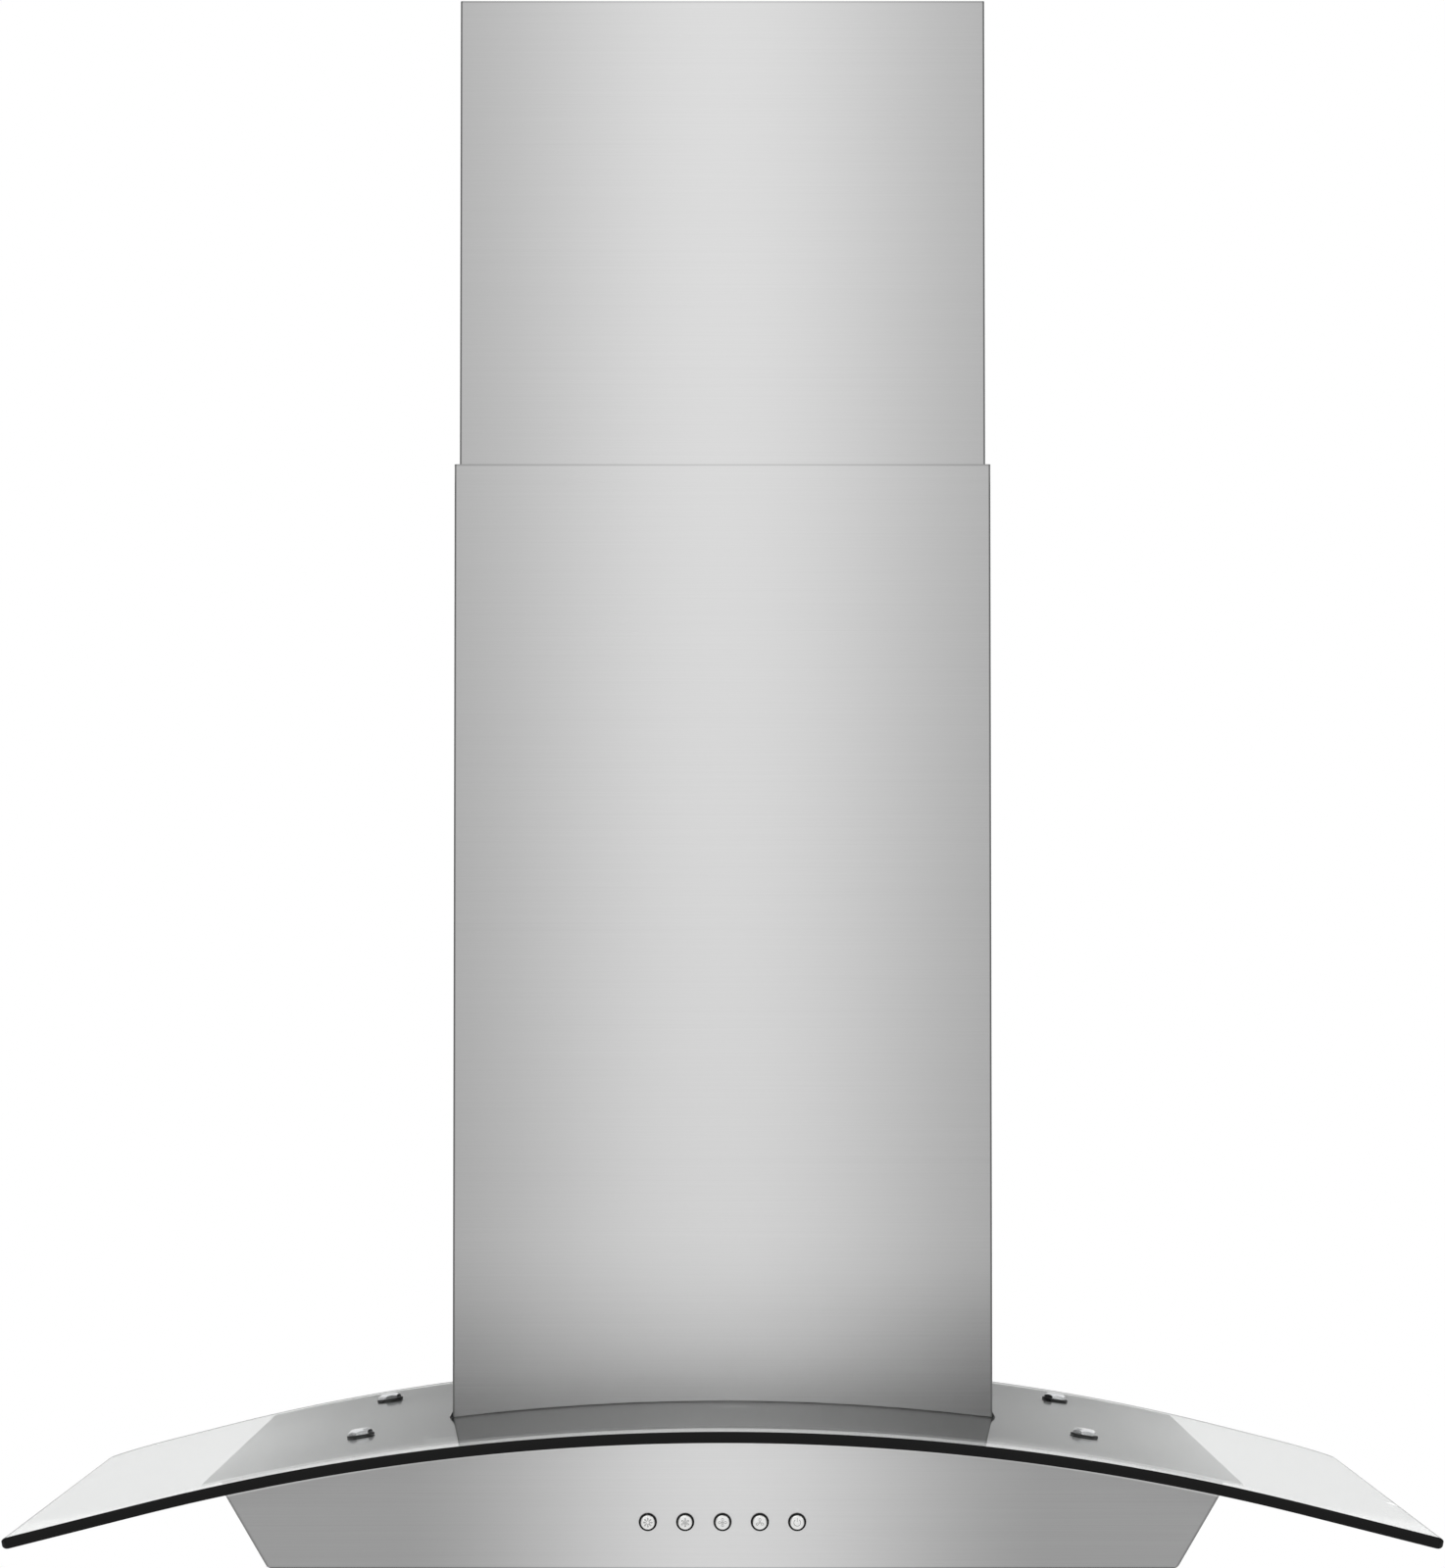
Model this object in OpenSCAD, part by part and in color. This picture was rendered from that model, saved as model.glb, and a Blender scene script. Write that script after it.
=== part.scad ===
// Curved glass range hood for a wall: an arched glass canopy over a shallow steel body, with a
// two-piece chimney, a blower, swing-down baffle filters and five push buttons.
// The wall is the plane y = 0 and the hood stands in front of it, towards -y.
// The origin is the middle of the four wall screws of the hanging bracket.

/* [Glass canopy] */
// Width of the glass along its front edge
glass_w = 760; // [700:1:820]
// Reach of the glass past the front panel
glass_overhang = 48; // [30:1:80]
// Thickness of the glass
glass_t = 6; // [4:0.5:8]
// Radius of the arch, to the upper face
glass_arc_r = 1264; // [1150:1:1500]
// Half width of the arched middle, out to the straight wings
arc_half_w = 308; // [295:1:325]
// Corner radius at the wall, seen from above
glass_back_corner_r = 40; // [20:1:60]
// Corner radius at the front, seen from above
glass_front_corner_r = 4; // [2:0.5:12]
// Room between the notch in the glass and the flange of the blower box
notch_gap = 4; // [2:0.5:6]
// Height of the glass above the body's plate
glass_lift = 0.6; // [0.4:0.1:2]

/* [Glass fixings] */
// Distance of each fixing from the middle
glass_bolt_x = 201; // [185:1:230]
// Distance of the rear fixings from the wall
glass_bolt_back = 83; // [60:1:120]
// Distance of the front fixings behind the front panel
glass_bolt_front = 116; // [80:1:150]
// Diameter of the bolts
glass_bolt_d = 5; // [4:0.5:6]
// Diameter of the holes in the glass
glass_hole_d = 8; // [7:0.5:10]
// Width of the bolt heads over their corners
bolt_head_w = 13.6; // [10:0.1:15]
// Height of the bolt heads
bolt_head_h = 3; // [2.5:0.1:5]
// Diameter of the rubber washers
washer_d = 15.6; // [15:0.1:18]
// Thickness of the upper rubber washers
washer_top_t = 1; // [0.8:0.1:3]
// Width of the nuts over their corners
bolt_nut_w = 9.2; // [8:0.1:11]
// Height of the nuts
bolt_nut_h = 4; // [3:0.1:5]

/* [Body] */
// Depth of the steel body from the wall to the front panel
body_d = 452; // [440:1:470]
// Height of the body up to the top of the arch
body_h = 77; // [70:1:95]
// Width of the body at its bottom
body_bottom_w = 487; // [470:1:510]
// Lean of the body's sides, outwards going up
side_lean = 30.5; // [20:0.5:33]
// Radius of the body's lower corners, seen from the front
body_corner_r = 4; // [2:0.5:8]
// Thickness of the body's sheet metal
sheet_t = 1; // [0.8:0.1:1.2]
// Reach of the plate under the glass past the body's sides
plate_overhang = 10.5; // [8:0.5:24]
// Width of the lips turned in along the body's bottom
lip_w = 12; // [11:0.5:14]
// Diameter of the frame screws' countersunk heads
frame_screw_head_d = 5.6; // [5:0.1:6]
// Diameter of the frame screws
frame_screw_d = 3.2; // [2.5:0.1:3.5]
// Length of the frame screws
frame_screw_len = 6; // [5:0.5:8]
// Distance of the frame screws from the lower edges
frame_screw_inset = 8; // [7.5:0.5:8.5]
// Distance of the end frame screws from the wall and the front
frame_screw_end = 61; // [40:1:80]

/* [Chimney] */
// Width of the lower chimney
chimney_w = 306; // [304:1:330]
// Depth of the lower chimney from the wall
chimney_d = 296; // [292:1:320]
// Top of the lower chimney above the top of the arch
lower_chimney_h = 533; // [480:1:600]
// Full height of the upper chimney
upper_chimney_h = 430; // [380:1:480]
// Height of the upper chimney that shows
upper_show_h = 267; // [250:1:300]
// Thickness of the chimney's sheet metal
chimney_t = 1; // [0.8:0.1:1.2]
// Height of the folded hem at the top of the lower chimney
hem_h = 12; // [8:1:20]
// Running room between the hem and the upper chimney
chimney_gap = 0.8; // [0.3:0.1:0.8]
// Width of the flanges turned in along the wall
chimney_return_w = 16; // [14:1:20]
// Width of the seal strips beside the chimney's foot
seal_w = 1.6; // [1:0.1:3]
// Height of the seal strips beside the chimney's foot
seal_h = 2.8; // [2:0.1:5]

/* [Chimney fixings] */
// Width of the fixing tabs
tab_w = 26; // [20:1:32]
// Height of the fixing tabs
tab_h = 24; // [20:1:30]
// Thickness of the fixing tabs
tab_t = 1.5; // [1:0.1:2]
// Height of the tabs' lower edge above the top of the arch
tab_rise = 28; // [20:1:40]
// Distance of the tabs' middle from the wall
tab_back = 44; // [35:1:60]
// Diameter of the chimney screws
chimney_screw_d = 4; // [3:0.5:5]
// Diameter of the chimney screw heads
chimney_screw_head_d = 7.5; // [6:0.5:9]
// Height of the chimney screw heads
chimney_screw_head_h = 2; // [1.5:0.1:3]
// Length of the chimney screws under the head
chimney_screw_len = 8; // [6:0.5:10]
// Height of the upper wall bracket
top_bracket_h = 30; // [26:1:36]
// Thickness of the upper wall bracket
top_bracket_t = 2; // [1.5:0.1:2.2]
// Length of the upper bracket's arms
top_bracket_arm = 60; // [50:1:80]
// Distance of the upper bracket below the top
top_bracket_drop = 10; // [5:1:20]
// Distance between the upper bracket's wall screws
top_bracket_hole_pitch = 200; // [160:1:220]
// Diameter of the upper bracket's wall screw holes
top_bracket_hole_d = 6; // [5:0.5:7]

/* [Wall bracket] */
// Width of the hanging bracket
bracket_w = 220; // [205:1:240]
// Height of the bracket
bracket_h = 60; // [55:1:70]
// Thickness of the bracket
bracket_t = 2.5; // [2:0.1:3]
// Diameter of its four wall screw holes
bracket_hole_d = 6; // [5:0.5:7]
// Distance between the screw holes, side to side
bracket_hole_dx = 176; // [170:1:190]
// Distance between the screw holes, up and down
bracket_hole_dz = 30; // [25:1:40]
// Height of the blower box's top above the middle of the bracket
hook_drop = 42; // [36:1:50]
// Width of each hook
hook_w = 30; // [24:1:36]
// Distance between the two hooks
hook_pitch = 120; // [110:1:130]
// Height of the hooks' lips
hook_rise = 10; // [8:1:14]
// Distance of the lower wall screws from the lower edges
low_wall_hole_inset = 43.5; // [30:0.5:60]
// Diameter of the lower wall screw holes
low_wall_hole_d = 5; // [4:0.5:6]
// Height of the lower wall screws above the bottom
low_wall_hole_rise = 26; // [20:1:30]

/* [Blower box] */
// Room from the blower box's sides to the chimney's outside
box_side_room = 25; // [23:1:28]
// Room from the blower box's front to the chimney's outside
box_front_room = 32; // [29:1:35]
// Distance of the blower box from the wall
box_back = 14; // [12:1:18]
// Height of the blower box above the scroll's round part
box_neck_h = 33; // [29:1:42]
// Width of the blower box's foot flange
box_flange_w = 14; // [12:1:16]
// Ledge of the plate under the blower box, round the air opening
inlet_ledge = 10; // [8:1:16]
// Diameter of the flange screws
box_screw_d = 3.8; // [3:0.1:4]
// Diameter of the flange screws' heads
box_screw_head_d = 7; // [6:0.5:8]
// Height of the flange screws' heads
box_screw_head_h = 2; // [1.5:0.1:2.5]
// Length of the flange screws
box_screw_len = 7; // [5:0.5:9]
// Distance of the first flange screws from the wall
box_screw_back = 56; // [40:1:70]
// Distance between the flange screws
box_screw_pitch = 160; // [130:1:180]

/* [Blower] */
// Width of the scroll housing along the shaft
scroll_w = 104; // [100:1:110]
// Wall of the scroll housing
scroll_wall = 2; // [1.5:0.1:2.5]
// Room between the scroll and the box's back
scroll_back_room = 8; // [6:0.5:10]
// Room between the scroll and the box's front
scroll_front_room = 38; // [34:1:40]
// Room between the scroll and the top of the arch
scroll_floor_room = 3; // [2:0.5:6]
// Growth of the scroll's radius in each quarter turn
scroll_step = 6; // [4:0.5:6]
// Room between the impeller and the inside of the scroll
impeller_room = 6; // [4:0.5:8]
// Room between the impeller's ends and the inside of the scroll
impeller_end_room = 4; // [3:0.5:7]
// Overlap of the scroll's sides past the impeller's rim
inlet_lap = 20; // [17:0.5:24]
// Number of impeller blades
blade_count = 30; // [20:1:36]
// Length of each blade's section
blade_len = 13; // [11:0.5:15]
// Thickness of the blades
blade_t = 1; // [0.8:0.1:1.5]
// Slant of the blades from the radius
blade_slant = 35; // [20:1:45]
// Thickness of the impeller's end rings
ring_t = 3; // [2:0.5:4]
// Radial width of the impeller's end rings
ring_w = 9; // [7:0.5:11]
// Thickness of the impeller's middle disc
disc_t = 2.5; // [2:0.1:4]
// Diameter of the impeller's hub
hub_d = 26; // [20:1:32]
// Length of the impeller's hub
hub_len = 18; // [14:1:24]
// Diameter of the motor
motor_d = 76; // [70:1:84]
// Length of the motor
motor_len = 44; // [40:1:46]
// Diameter of the motor's shaft
shaft_d = 8; // [6:0.5:10]
// Length of the shaft inside the motor
shaft_in_motor = 16; // [12:1:24]
// Thickness of the motor bracket
motor_bracket_t = 2; // [1.5:0.1:2.5]
// Width of the motor bracket's arms
motor_arm_w = 14; // [12:1:18]
// Diameter of the motor bracket's middle disc
motor_plate_d = 66; // [58:1:70]
// Distance of the motor bracket's screws from the inlet
motor_bolt_inset = 7; // [6.5:0.5:10]
// Diameter of the motor bracket's feet
motor_foot_d = 12; // [11:0.5:12]
// Diameter of the motor bracket's screws
motor_screw_d = 4; // [3:0.5:4]
// Diameter of the capacitor
capacitor_d = 28; // [24:1:32]
// Length of the capacitor
capacitor_len = 52; // [44:1:60]
// Distance of the capacitor's axis from the wall
capacitor_back = 48; // [44:1:56]
// Thickness of the capacitor's clip
clip_t = 1.2; // [1:0.1:1.5]
// Width of the capacitor's clip
clip_w = 14; // [10:1:20]

/* [Duct collar] */
// Outer diameter of the duct collar
collar_d = 150; // [146:1:152]
// Wall of the duct collar
collar_wall = 1.5; // [1.2:0.1:2]
// Height of the duct collar
collar_h = 50; // [44:1:60]
// Width of the collar's foot flange
collar_flange_w = 10; // [9:0.5:11]
// Diameter of the collar's screws
collar_screw_d = 3; // [2.5:0.5:3.5]
// Diameter of the damper's pivot pin
damper_pin_d = 4; // [3:0.5:5]
// Thickness of the damper flaps
flap_t = 1.2; // [1:0.1:1.6]
// Wall of the flaps' knuckles round the pin
knuckle_wall = 1.6; // [1.2:0.1:2]
// Length of each knuckle
knuckle_len = 18; // [14:1:20]
// Room between the flaps and the collar
flap_gap = 1.5; // [1:0.1:2]
// Width of the ledge that the closed flaps rest on
ledge_w = 3.5; // [3:0.1:5]

/* [Controls] */
// Distance between neighbouring buttons
button_pitch = 20; // [17:1:22]
// Height of the buttons above the body's bottom
button_rise = 24.8; // [20:0.1:30]
// Diameter of the button caps
button_d = 7.5; // [6.5:0.1:8]
// Reach of the buttons past the panel
button_proud = 3.5; // [3:0.1:4.5]
// Travel of the buttons
button_travel = 1.5; // [1:0.1:2]
// Diameter of the ring round each button
bezel_d = 9.7; // [9.6:0.1:12]
// Reach of the rings past the panel
bezel_proud = 0.8; // [0.5:0.1:1.2]
// Wall of the rings inside the panel
bezel_wall = 0.6; // [0.5:0.1:0.8]
// Length of the rings behind the panel
bezel_tail = 3; // [2:0.1:3.5]
// Thickness of the collar behind each button
button_flange_t = 1; // [0.8:0.1:1.2]
// Diameter of the stem behind each button
button_stem_d = 3; // [2.5:0.1:4]
// Reach of the switch housing past the outer buttons
housing_end = 12; // [10:0.5:16]
// Height of the switch housing
housing_h = 18; // [16:1:22]
// Depth of the switch housing
housing_d = 16; // [15.5:0.5:20]
// Wall of the switch housing
housing_wall = 1.5; // [1.2:0.1:1.8]
// Width of the housing's fixing ears
housing_ear_w = 12; // [10:1:16]
// Thickness of the housing's fixing ears
housing_ear_t = 2; // [1.5:0.1:3]
// Diameter of the housing's studs
housing_stud_d = 3; // [2.5:0.5:4]
// Length of the housing's studs
housing_stud_len = 6; // [5:0.5:8]
// Width of the stud nuts over their corners
housing_nut_w = 6.4; // [6:0.1:8]
// Height of the stud nuts
housing_nut_h = 2.4; // [2:0.1:3]
// Thickness of the circuit board
board_t = 1.6; // [1:0.1:2]
// Side of each small switch on the board
tact_w = 6; // [5:0.1:8]
// Height of each small switch on the board
tact_h = 3; // [2.5:0.1:3.2]

/* [Lamps] */
// Distance of the lamps' middle from the lower edges
lamp_inset = 65.5; // [55:0.5:90]
// Diameter of each lamp's ring
lamp_ring_d = 62; // [59:1:64]
// Diameter of each lamp's can
lamp_can_d = 56; // [50:1:57]
// Height of each lamp's can
lamp_can_h = 15; // [12:1:20]
// Wall of each lamp's can
lamp_wall = 1.5; // [1:0.1:2]
// Thickness of each lamp's lens
lamp_lens_t = 2; // [1.5:0.1:3]

/* [Filters] */
// Room between the filter openings and the lower edges
window_side = 35.5; // [30:0.5:45]
// Room between the filter openings and the front panel
window_front_room = 82; // [80:1:100]
// Distance of the filter openings from the wall
window_back = 50; // [46:1:52]
// Width of the bar between the two openings
bar_w = 16; // [14:1:20]
// Thickness of the filters
filter_t = 10; // [9:0.5:11]
// Thickness of the filter frames' sheet
filter_wall = 1; // [0.8:0.1:1.2]
// Width of the filter frames' lips
filter_lip = 9; // [8:0.5:12]
// Room at each side of a filter
filter_side_gap = 1; // [0.8:0.1:1.5]
// Room behind a filter, for its swing
filter_back_gap = 1.5; // [1.4:0.1:2]
// Room in front of a filter, for its clips
filter_front_gap = 1.2; // [1:0.1:1.6]
// Diameter of the filters' hinge pins
filter_pin_d = 4; // [3:0.5:4]
// Distance of the pins from a filter's rear edge
filter_pin_in = 5.5; // [5:0.1:6]
// Thickness of the hinge pins' ears
ear_t = 2; // [1.5:0.1:2.5]
// Width of the hinge pins' ears
ear_w = 12; // [10:1:14]
// Number of lower baffles in each filter
baffle_count = 9; // [7:1:9]
// Room between the outer baffles and the frame
baffle_end_room = 7; // [5:0.5:12]
// Width of each baffle
baffle_w = 14; // [12:0.5:15]
// Height of each baffle
baffle_h = 3.4; // [3:0.1:3.5]
// Thickness of the baffles' sheet
baffle_t = 0.8; // [0.6:0.1:1]
// Diameter of the rods through the baffles
tie_rod_d = 2; // [1.6:0.1:2.4]
// Width of each filter handle
handle_w = 64; // [50:1:80]
// Drop of the filter handles below the filters
handle_drop = 12; // [10:0.5:16]
// Thickness of the handle strip
handle_t = 1.2; // [1:0.1:2]
// Length of each handle foot
handle_foot = 10; // [8:0.5:14]
// Length of each filter clip
filter_clip_w = 30; // [20:1:40]
// Height of each filter clip
filter_clip_h = 6; // [4:0.5:7]
// Thickness of each filter clip
filter_clip_t = 0.4; // [0.3:0.1:0.5]

/* [Electrical] */
// Width of the junction box
jbox_w = 52; // [46:1:60]
// Depth of the junction box
jbox_d = 46; // [40:1:50]
// Height of the junction box
jbox_h = 34; // [30:1:40]
// Wall of the junction box and of the lamp driver
jbox_wall = 1.2; // [1:0.1:2]
// Diameter of the gland's cable bore
gland_bore_d = 8.4; // [7:0.1:9]
// Outer diameter of the gland's thread
gland_thread_d = 12; // [11.5:0.1:14]
// Width of the gland's hexagon
gland_hex_w = 18; // [17:0.5:20]
// Height of the gland's hexagon
gland_hex_h = 6; // [5:0.5:8]
// Height of the gland's round cap
gland_cap_h = 8; // [6:0.5:10]
// Width of the lamp driver
driver_w = 52; // [44:1:60]
// Depth of the lamp driver
driver_d = 40; // [34:1:46]
// Height of the lamp driver
driver_h = 22; // [18:1:28]
// Diameter of the control lead
lead_d = 6; // [5:0.5:6.5]
// Radius of the control lead's bends
lead_bend_r = 14; // [13:0.5:18]
// Distance of the control lead from the middle
lead_x = 30; // [20:1:36]
// Width of the lead's connector
connector_w = 30; // [24:1:36]
// Height of the lead's connector
connector_h = 20; // [16:1:26]

/* [Clearances] */
// Gap at welded seams and between seated curved faces
seam_gap = 0.2; // [0.1:0.05:0.3]
// Radial room of a pin or button that moves in its hole
run_gap = 0.05; // [0.03:0.01:0.08]
// Radial room round the fixing screws
screw_gap = 0.15; // [0.1:0.05:0.3]

/* [Hidden] */

// Facet counts, the sides of a hexagon, and the bolt heads' turn
$fn = 64;
arch_fn = 256;
lead_fn = 12;
hex_fn = 6;
head_turn = 12;
// One overrun for all cuts
over = 5;

// Depths and widths
glass_d = body_d + glass_overhang;
glass_bolt_pitch = body_d - glass_bolt_back - glass_bolt_front;
frame_screw_pitch = (body_d - 2 * frame_screw_end) / 2;
window_d = body_d - window_back - window_front_room;
window_w = body_bottom_w / 2 - bar_w / 2 - window_side;
box_w = chimney_w - 2 * box_side_room;
box_d = chimney_d - box_back - box_front_room;
inlet_w = box_w - 2 * inlet_ledge;
inlet_d = box_d - 2 * inlet_ledge;

// Blower, from the box that holds it
scroll_r = (box_d - 2 * sheet_t - scroll_back_room - scroll_front_room - 3 * scroll_step) / 2;
fan_back = box_back + sheet_t + scroll_back_room + scroll_r + scroll_step / 2;
fan_rise = scroll_floor_room + scroll_r + 3 * scroll_step / 2;
box_h = fan_rise + scroll_r + scroll_step / 2 + box_neck_h;
impeller_d = 2 * (scroll_r - scroll_wall - impeller_room);
impeller_w = scroll_w - 2 * scroll_wall - 2 * impeller_end_room;
scroll_inlet_d = impeller_d - 2 * inlet_lap;
motor_bolt_circle_d = scroll_inlet_d + 2 * motor_bolt_inset;

// Heights
glass_top_z = hook_drop - box_h;
arc_z = glass_top_z - glass_arc_r;
body_bottom_z = glass_top_z - body_h;
plate_r = glass_arc_r - glass_t - glass_lift;
plate_under_r = plate_r - sheet_t;
chimney_joint_z = glass_top_z + lower_chimney_h;
chimney_top_z = chimney_joint_z + upper_show_h;
box_top_z = glass_top_z + box_h;
fan_z = glass_top_z + fan_rise;

// Colours
steel = [0.72, 0.72, 0.72];
dark_steel = [0.55, 0.56, 0.57];
zinc = [0.62, 0.64, 0.66];
black = [0.08, 0.08, 0.08];
chrome = [0.86, 0.87, 0.88];
white = [0.93, 0.93, 0.92];
copper_brown = [0.45, 0.3, 0.2];
board_green = [0.1, 0.35, 0.2];

// Height of an arch of the given radius at a distance x from the middle
function arch_height(r, x) = arc_z + sqrt(r * r - x * x);

// Extrudes a profile drawn in x and z from one distance off the wall to another
module along_wall(near, far) {
    translate([0, -near, 0])
        rotate([90, 0, 0])
            linear_extrude(far - near) children();
}

// Profile of an arched sheet whose upper face has radius r
module arch_profile(r, t, half_w) {
    intersection() {
        translate([0, arc_z])
            difference() {
                circle(r = r, $fn = arch_fn);
                circle(r = r - t, $fn = arch_fn);
            }
        translate([-half_w, arc_z])
            square([2 * half_w, r + over]);
    }
}

// Places its children on the arch's radius through x, at a distance back from the wall
module on_arch(x, back) {
    translate([0, -back, arc_z])
        rotate([0, asin(x / plate_r), 0]) children();
}

// Positions shared by screws and their holes
module at_glass_bolts() {
    for (side = [-1, 1], step = [0, 1])
        on_arch(side * glass_bolt_x, glass_bolt_back + step * glass_bolt_pitch) children();
}

module at_box_screws() {
    for (side = [-1, 1], step = [0, 1])
        on_arch(side * (box_w + box_flange_w) / 2, box_screw_back + step * box_screw_pitch) children();
}

// The cut below a corner of radius r, with the corner at the origin
module corner_cut(r) {
    difference() {
        translate([-over, -over])
            square([r + over, r + over]);
        translate([r, r])
            circle(r = r);
    }
}

// Glass canopy

wing_slope = asin(arc_half_w / glass_arc_r);
wing_len = (glass_w / 2 - arc_half_w) / cos(wing_slope) + 2 * glass_t;
notch_half_w = box_w / 2 + box_flange_w + notch_gap;
notch_d = box_back + box_d + box_flange_w + notch_gap;

// The middle of the glass in section, an arch
module glass_arch_section() {
    wedge_h = glass_arc_r + over;
    translate([0, arc_z])
        intersection() {
            difference() {
                circle(r = glass_arc_r, $fn = arch_fn);
                circle(r = glass_arc_r - glass_t, $fn = arch_fn);
            }
            polygon([[0, 0], [wedge_h * tan(wing_slope), wedge_h], [-wedge_h * tan(wing_slope), wedge_h]]);
        }
}

// The two straight wings in section, tangent to the arch, each with a tail inside it
module glass_wing_sections() {
    for (side = [0, 1])
        mirror([side, 0])
            translate([arc_half_w, arch_height(glass_arc_r, arc_half_w)])
                rotate(-wing_slope)
                    polygon([
                        [0, 0], [wing_len, 0], [wing_len, -glass_t], [0, -glass_t], [-glass_t, -glass_t / 2]
                    ]);
}

module glass_plan() {
    difference() {
        translate([-glass_w / 2, -glass_d])
            square([glass_w, glass_d]);
        for (side = [0, 1])
            mirror([side, 0]) {
                translate([-glass_w / 2, -glass_d])
                    corner_cut(glass_front_corner_r);
                translate([-glass_w / 2, 0])
                    mirror([0, 1])
                        corner_cut(glass_back_corner_r);
            }
        translate([-notch_half_w, -notch_d])
            square([2 * notch_half_w, notch_d + over]);
    }
}

module glass_canopy() {
    reach = glass_arc_r - glass_arc_r * cos(wing_slope) + wing_len * sin(wing_slope) + 2 * glass_t;
    color("azure")
        difference() {
            intersection() {
                union() {
                    along_wall(0, glass_d) glass_arch_section();
                    along_wall(0, glass_d) glass_wing_sections();
                }
                translate([0, 0, glass_top_z - reach])
                    linear_extrude(reach + over) glass_plan();
            }
            at_glass_bolts()
                translate([0, 0, glass_arc_r - glass_t - over])
                    cylinder(h = glass_t + 2 * over, d = glass_hole_d);
        }
}

// Glass fixings: a hexagon bolt, two rubber washers and a nut at each of four places

bolt_len = washer_top_t + glass_t + glass_lift + sheet_t + bolt_nut_h + glass_bolt_d / 2;
washer_hole_d = glass_bolt_d + 2 * screw_gap;

module glass_bolts() {
    head_base = glass_arc_r + washer_top_t;
    chamfer = 3 * bolt_head_h / 2;
    color(chrome)
        at_glass_bolts()
            translate([0, 0, head_base]) {
                intersection() {
                    rotate([0, 0, head_turn])
                        cylinder(h = bolt_head_h, d = bolt_head_w, $fn = hex_fn);
                    cylinder(h = bolt_head_h, d1 = bolt_head_w + chamfer, d2 = bolt_head_w - chamfer);
                }
                translate([0, 0, -bolt_len])
                    cylinder(h = bolt_len, d = glass_bolt_d);
            }
}

module washer(t, base) {
    translate([0, 0, base])
        difference() {
            cylinder(h = t, d = washer_d);
            translate([0, 0, -over])
                cylinder(h = t + 2 * over, d = washer_hole_d);
        }
}

module glass_washers_upper() {
    color(black)
        at_glass_bolts()
            washer(washer_top_t, glass_arc_r);
}

module glass_washers_lower() {
    washer_room = seam_gap / 2;
    color(black)
        at_glass_bolts()
            washer(glass_lift - 2 * washer_room, plate_r + washer_room);
}

module glass_nuts() {
    color(zinc)
        at_glass_bolts()
            translate([0, 0, plate_under_r - bolt_nut_h - seam_gap])
                difference() {
                    cylinder(h = bolt_nut_h, d = bolt_nut_w, $fn = hex_fn);
                    translate([0, 0, -over])
                        cylinder(h = bolt_nut_h + 2 * over, d = glass_bolt_d + 2 * run_gap);
                }
}

// Body panels

half_bottom = body_bottom_w / 2;
low_wall_hole_pitch = body_bottom_w - 2 * low_wall_hole_inset;
lamp_x = half_bottom - lamp_inset;
housing_w = 4 * button_pitch + 2 * housing_end;

// Length of the side's line from the body's lower edge up to the underside of the plate
side_start_z = body_bottom_z - arc_z;
side_dot = half_bottom * sin(side_lean) + side_start_z * cos(side_lean);
side_len = sqrt(side_dot * side_dot - half_bottom * half_bottom - side_start_z * side_start_z
                + plate_under_r * plate_under_r) - side_dot;
plate_w = 2 * (half_bottom + side_len * sin(side_lean) + plate_overhang);

// The body seen from the front, moved in by inset on its sides and bottom, with a plain top
module body_tub(inset) {
    corner_r = max(body_corner_r - inset, inset);
    floor_z = body_bottom_z + inset;
    half_w = half_bottom + inset * tan(side_lean) - inset / cos(side_lean);
    tangent = corner_r / tan(45 + side_lean / 2);
    top_w = half_w + body_h * tan(side_lean);
    polygon([
        [-(half_w - tangent), floor_z],
        [half_w - tangent, floor_z],
        [half_w + tangent * sin(side_lean), floor_z + tangent * cos(side_lean)],
        [top_w, floor_z + body_h],
        [-top_w, floor_z + body_h],
        [-(half_w + tangent * sin(side_lean)), floor_z + tangent * cos(side_lean)]
    ]);
    for (side = [-1, 1])
        translate([side * (half_w - tangent), floor_z + corner_r])
            circle(r = corner_r);
}

// The room under the plate
module below_plate() {
    translate([0, arc_z])
        circle(r = plate_under_r - seam_gap, $fn = arch_fn);
}

module body_outline() {
    intersection() {
        body_tub(0);
        below_plate();
    }
}

// A countersunk hole or screw head that opens downwards at the height z
module countersink(z, head_d, shank_d) {
    translate([0, 0, z])
        cylinder(h = sheet_t, d1 = head_d, d2 = shank_d);
}

module at_frame_screws() {
    for (side = [-1, 1], step = [0:2])
        translate([side * (half_bottom - frame_screw_inset), -frame_screw_end - step * frame_screw_pitch, 0])
            children();
}

button_z = body_bottom_z + button_rise;
ear_span = housing_w + housing_ear_w;

module at_buttons() {
    for (i = [-2:2])
        translate([i * button_pitch, 0, button_z]) children();
}

module at_housing_studs() {
    for (side = [-1, 1])
        translate([side * ear_span / 2, 0, button_z]) children();
}

// A cylinder that points at the wall, between two distances from it
module rod_to_wall(near, far, d, sides = $fn) {
    translate([0, -near, 0])
        rotate([90, 0, 0])
            cylinder(h = far - near, d = d, $fn = sides);
}

bezel_neck_d = button_d + 2 * run_gap + 2 * bezel_wall;
panel_back = body_d - sheet_t;
lip_half_w = half_bottom - lip_w - sheet_t;
side_near = sheet_t + seam_gap;
side_far = panel_back - seam_gap;

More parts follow.
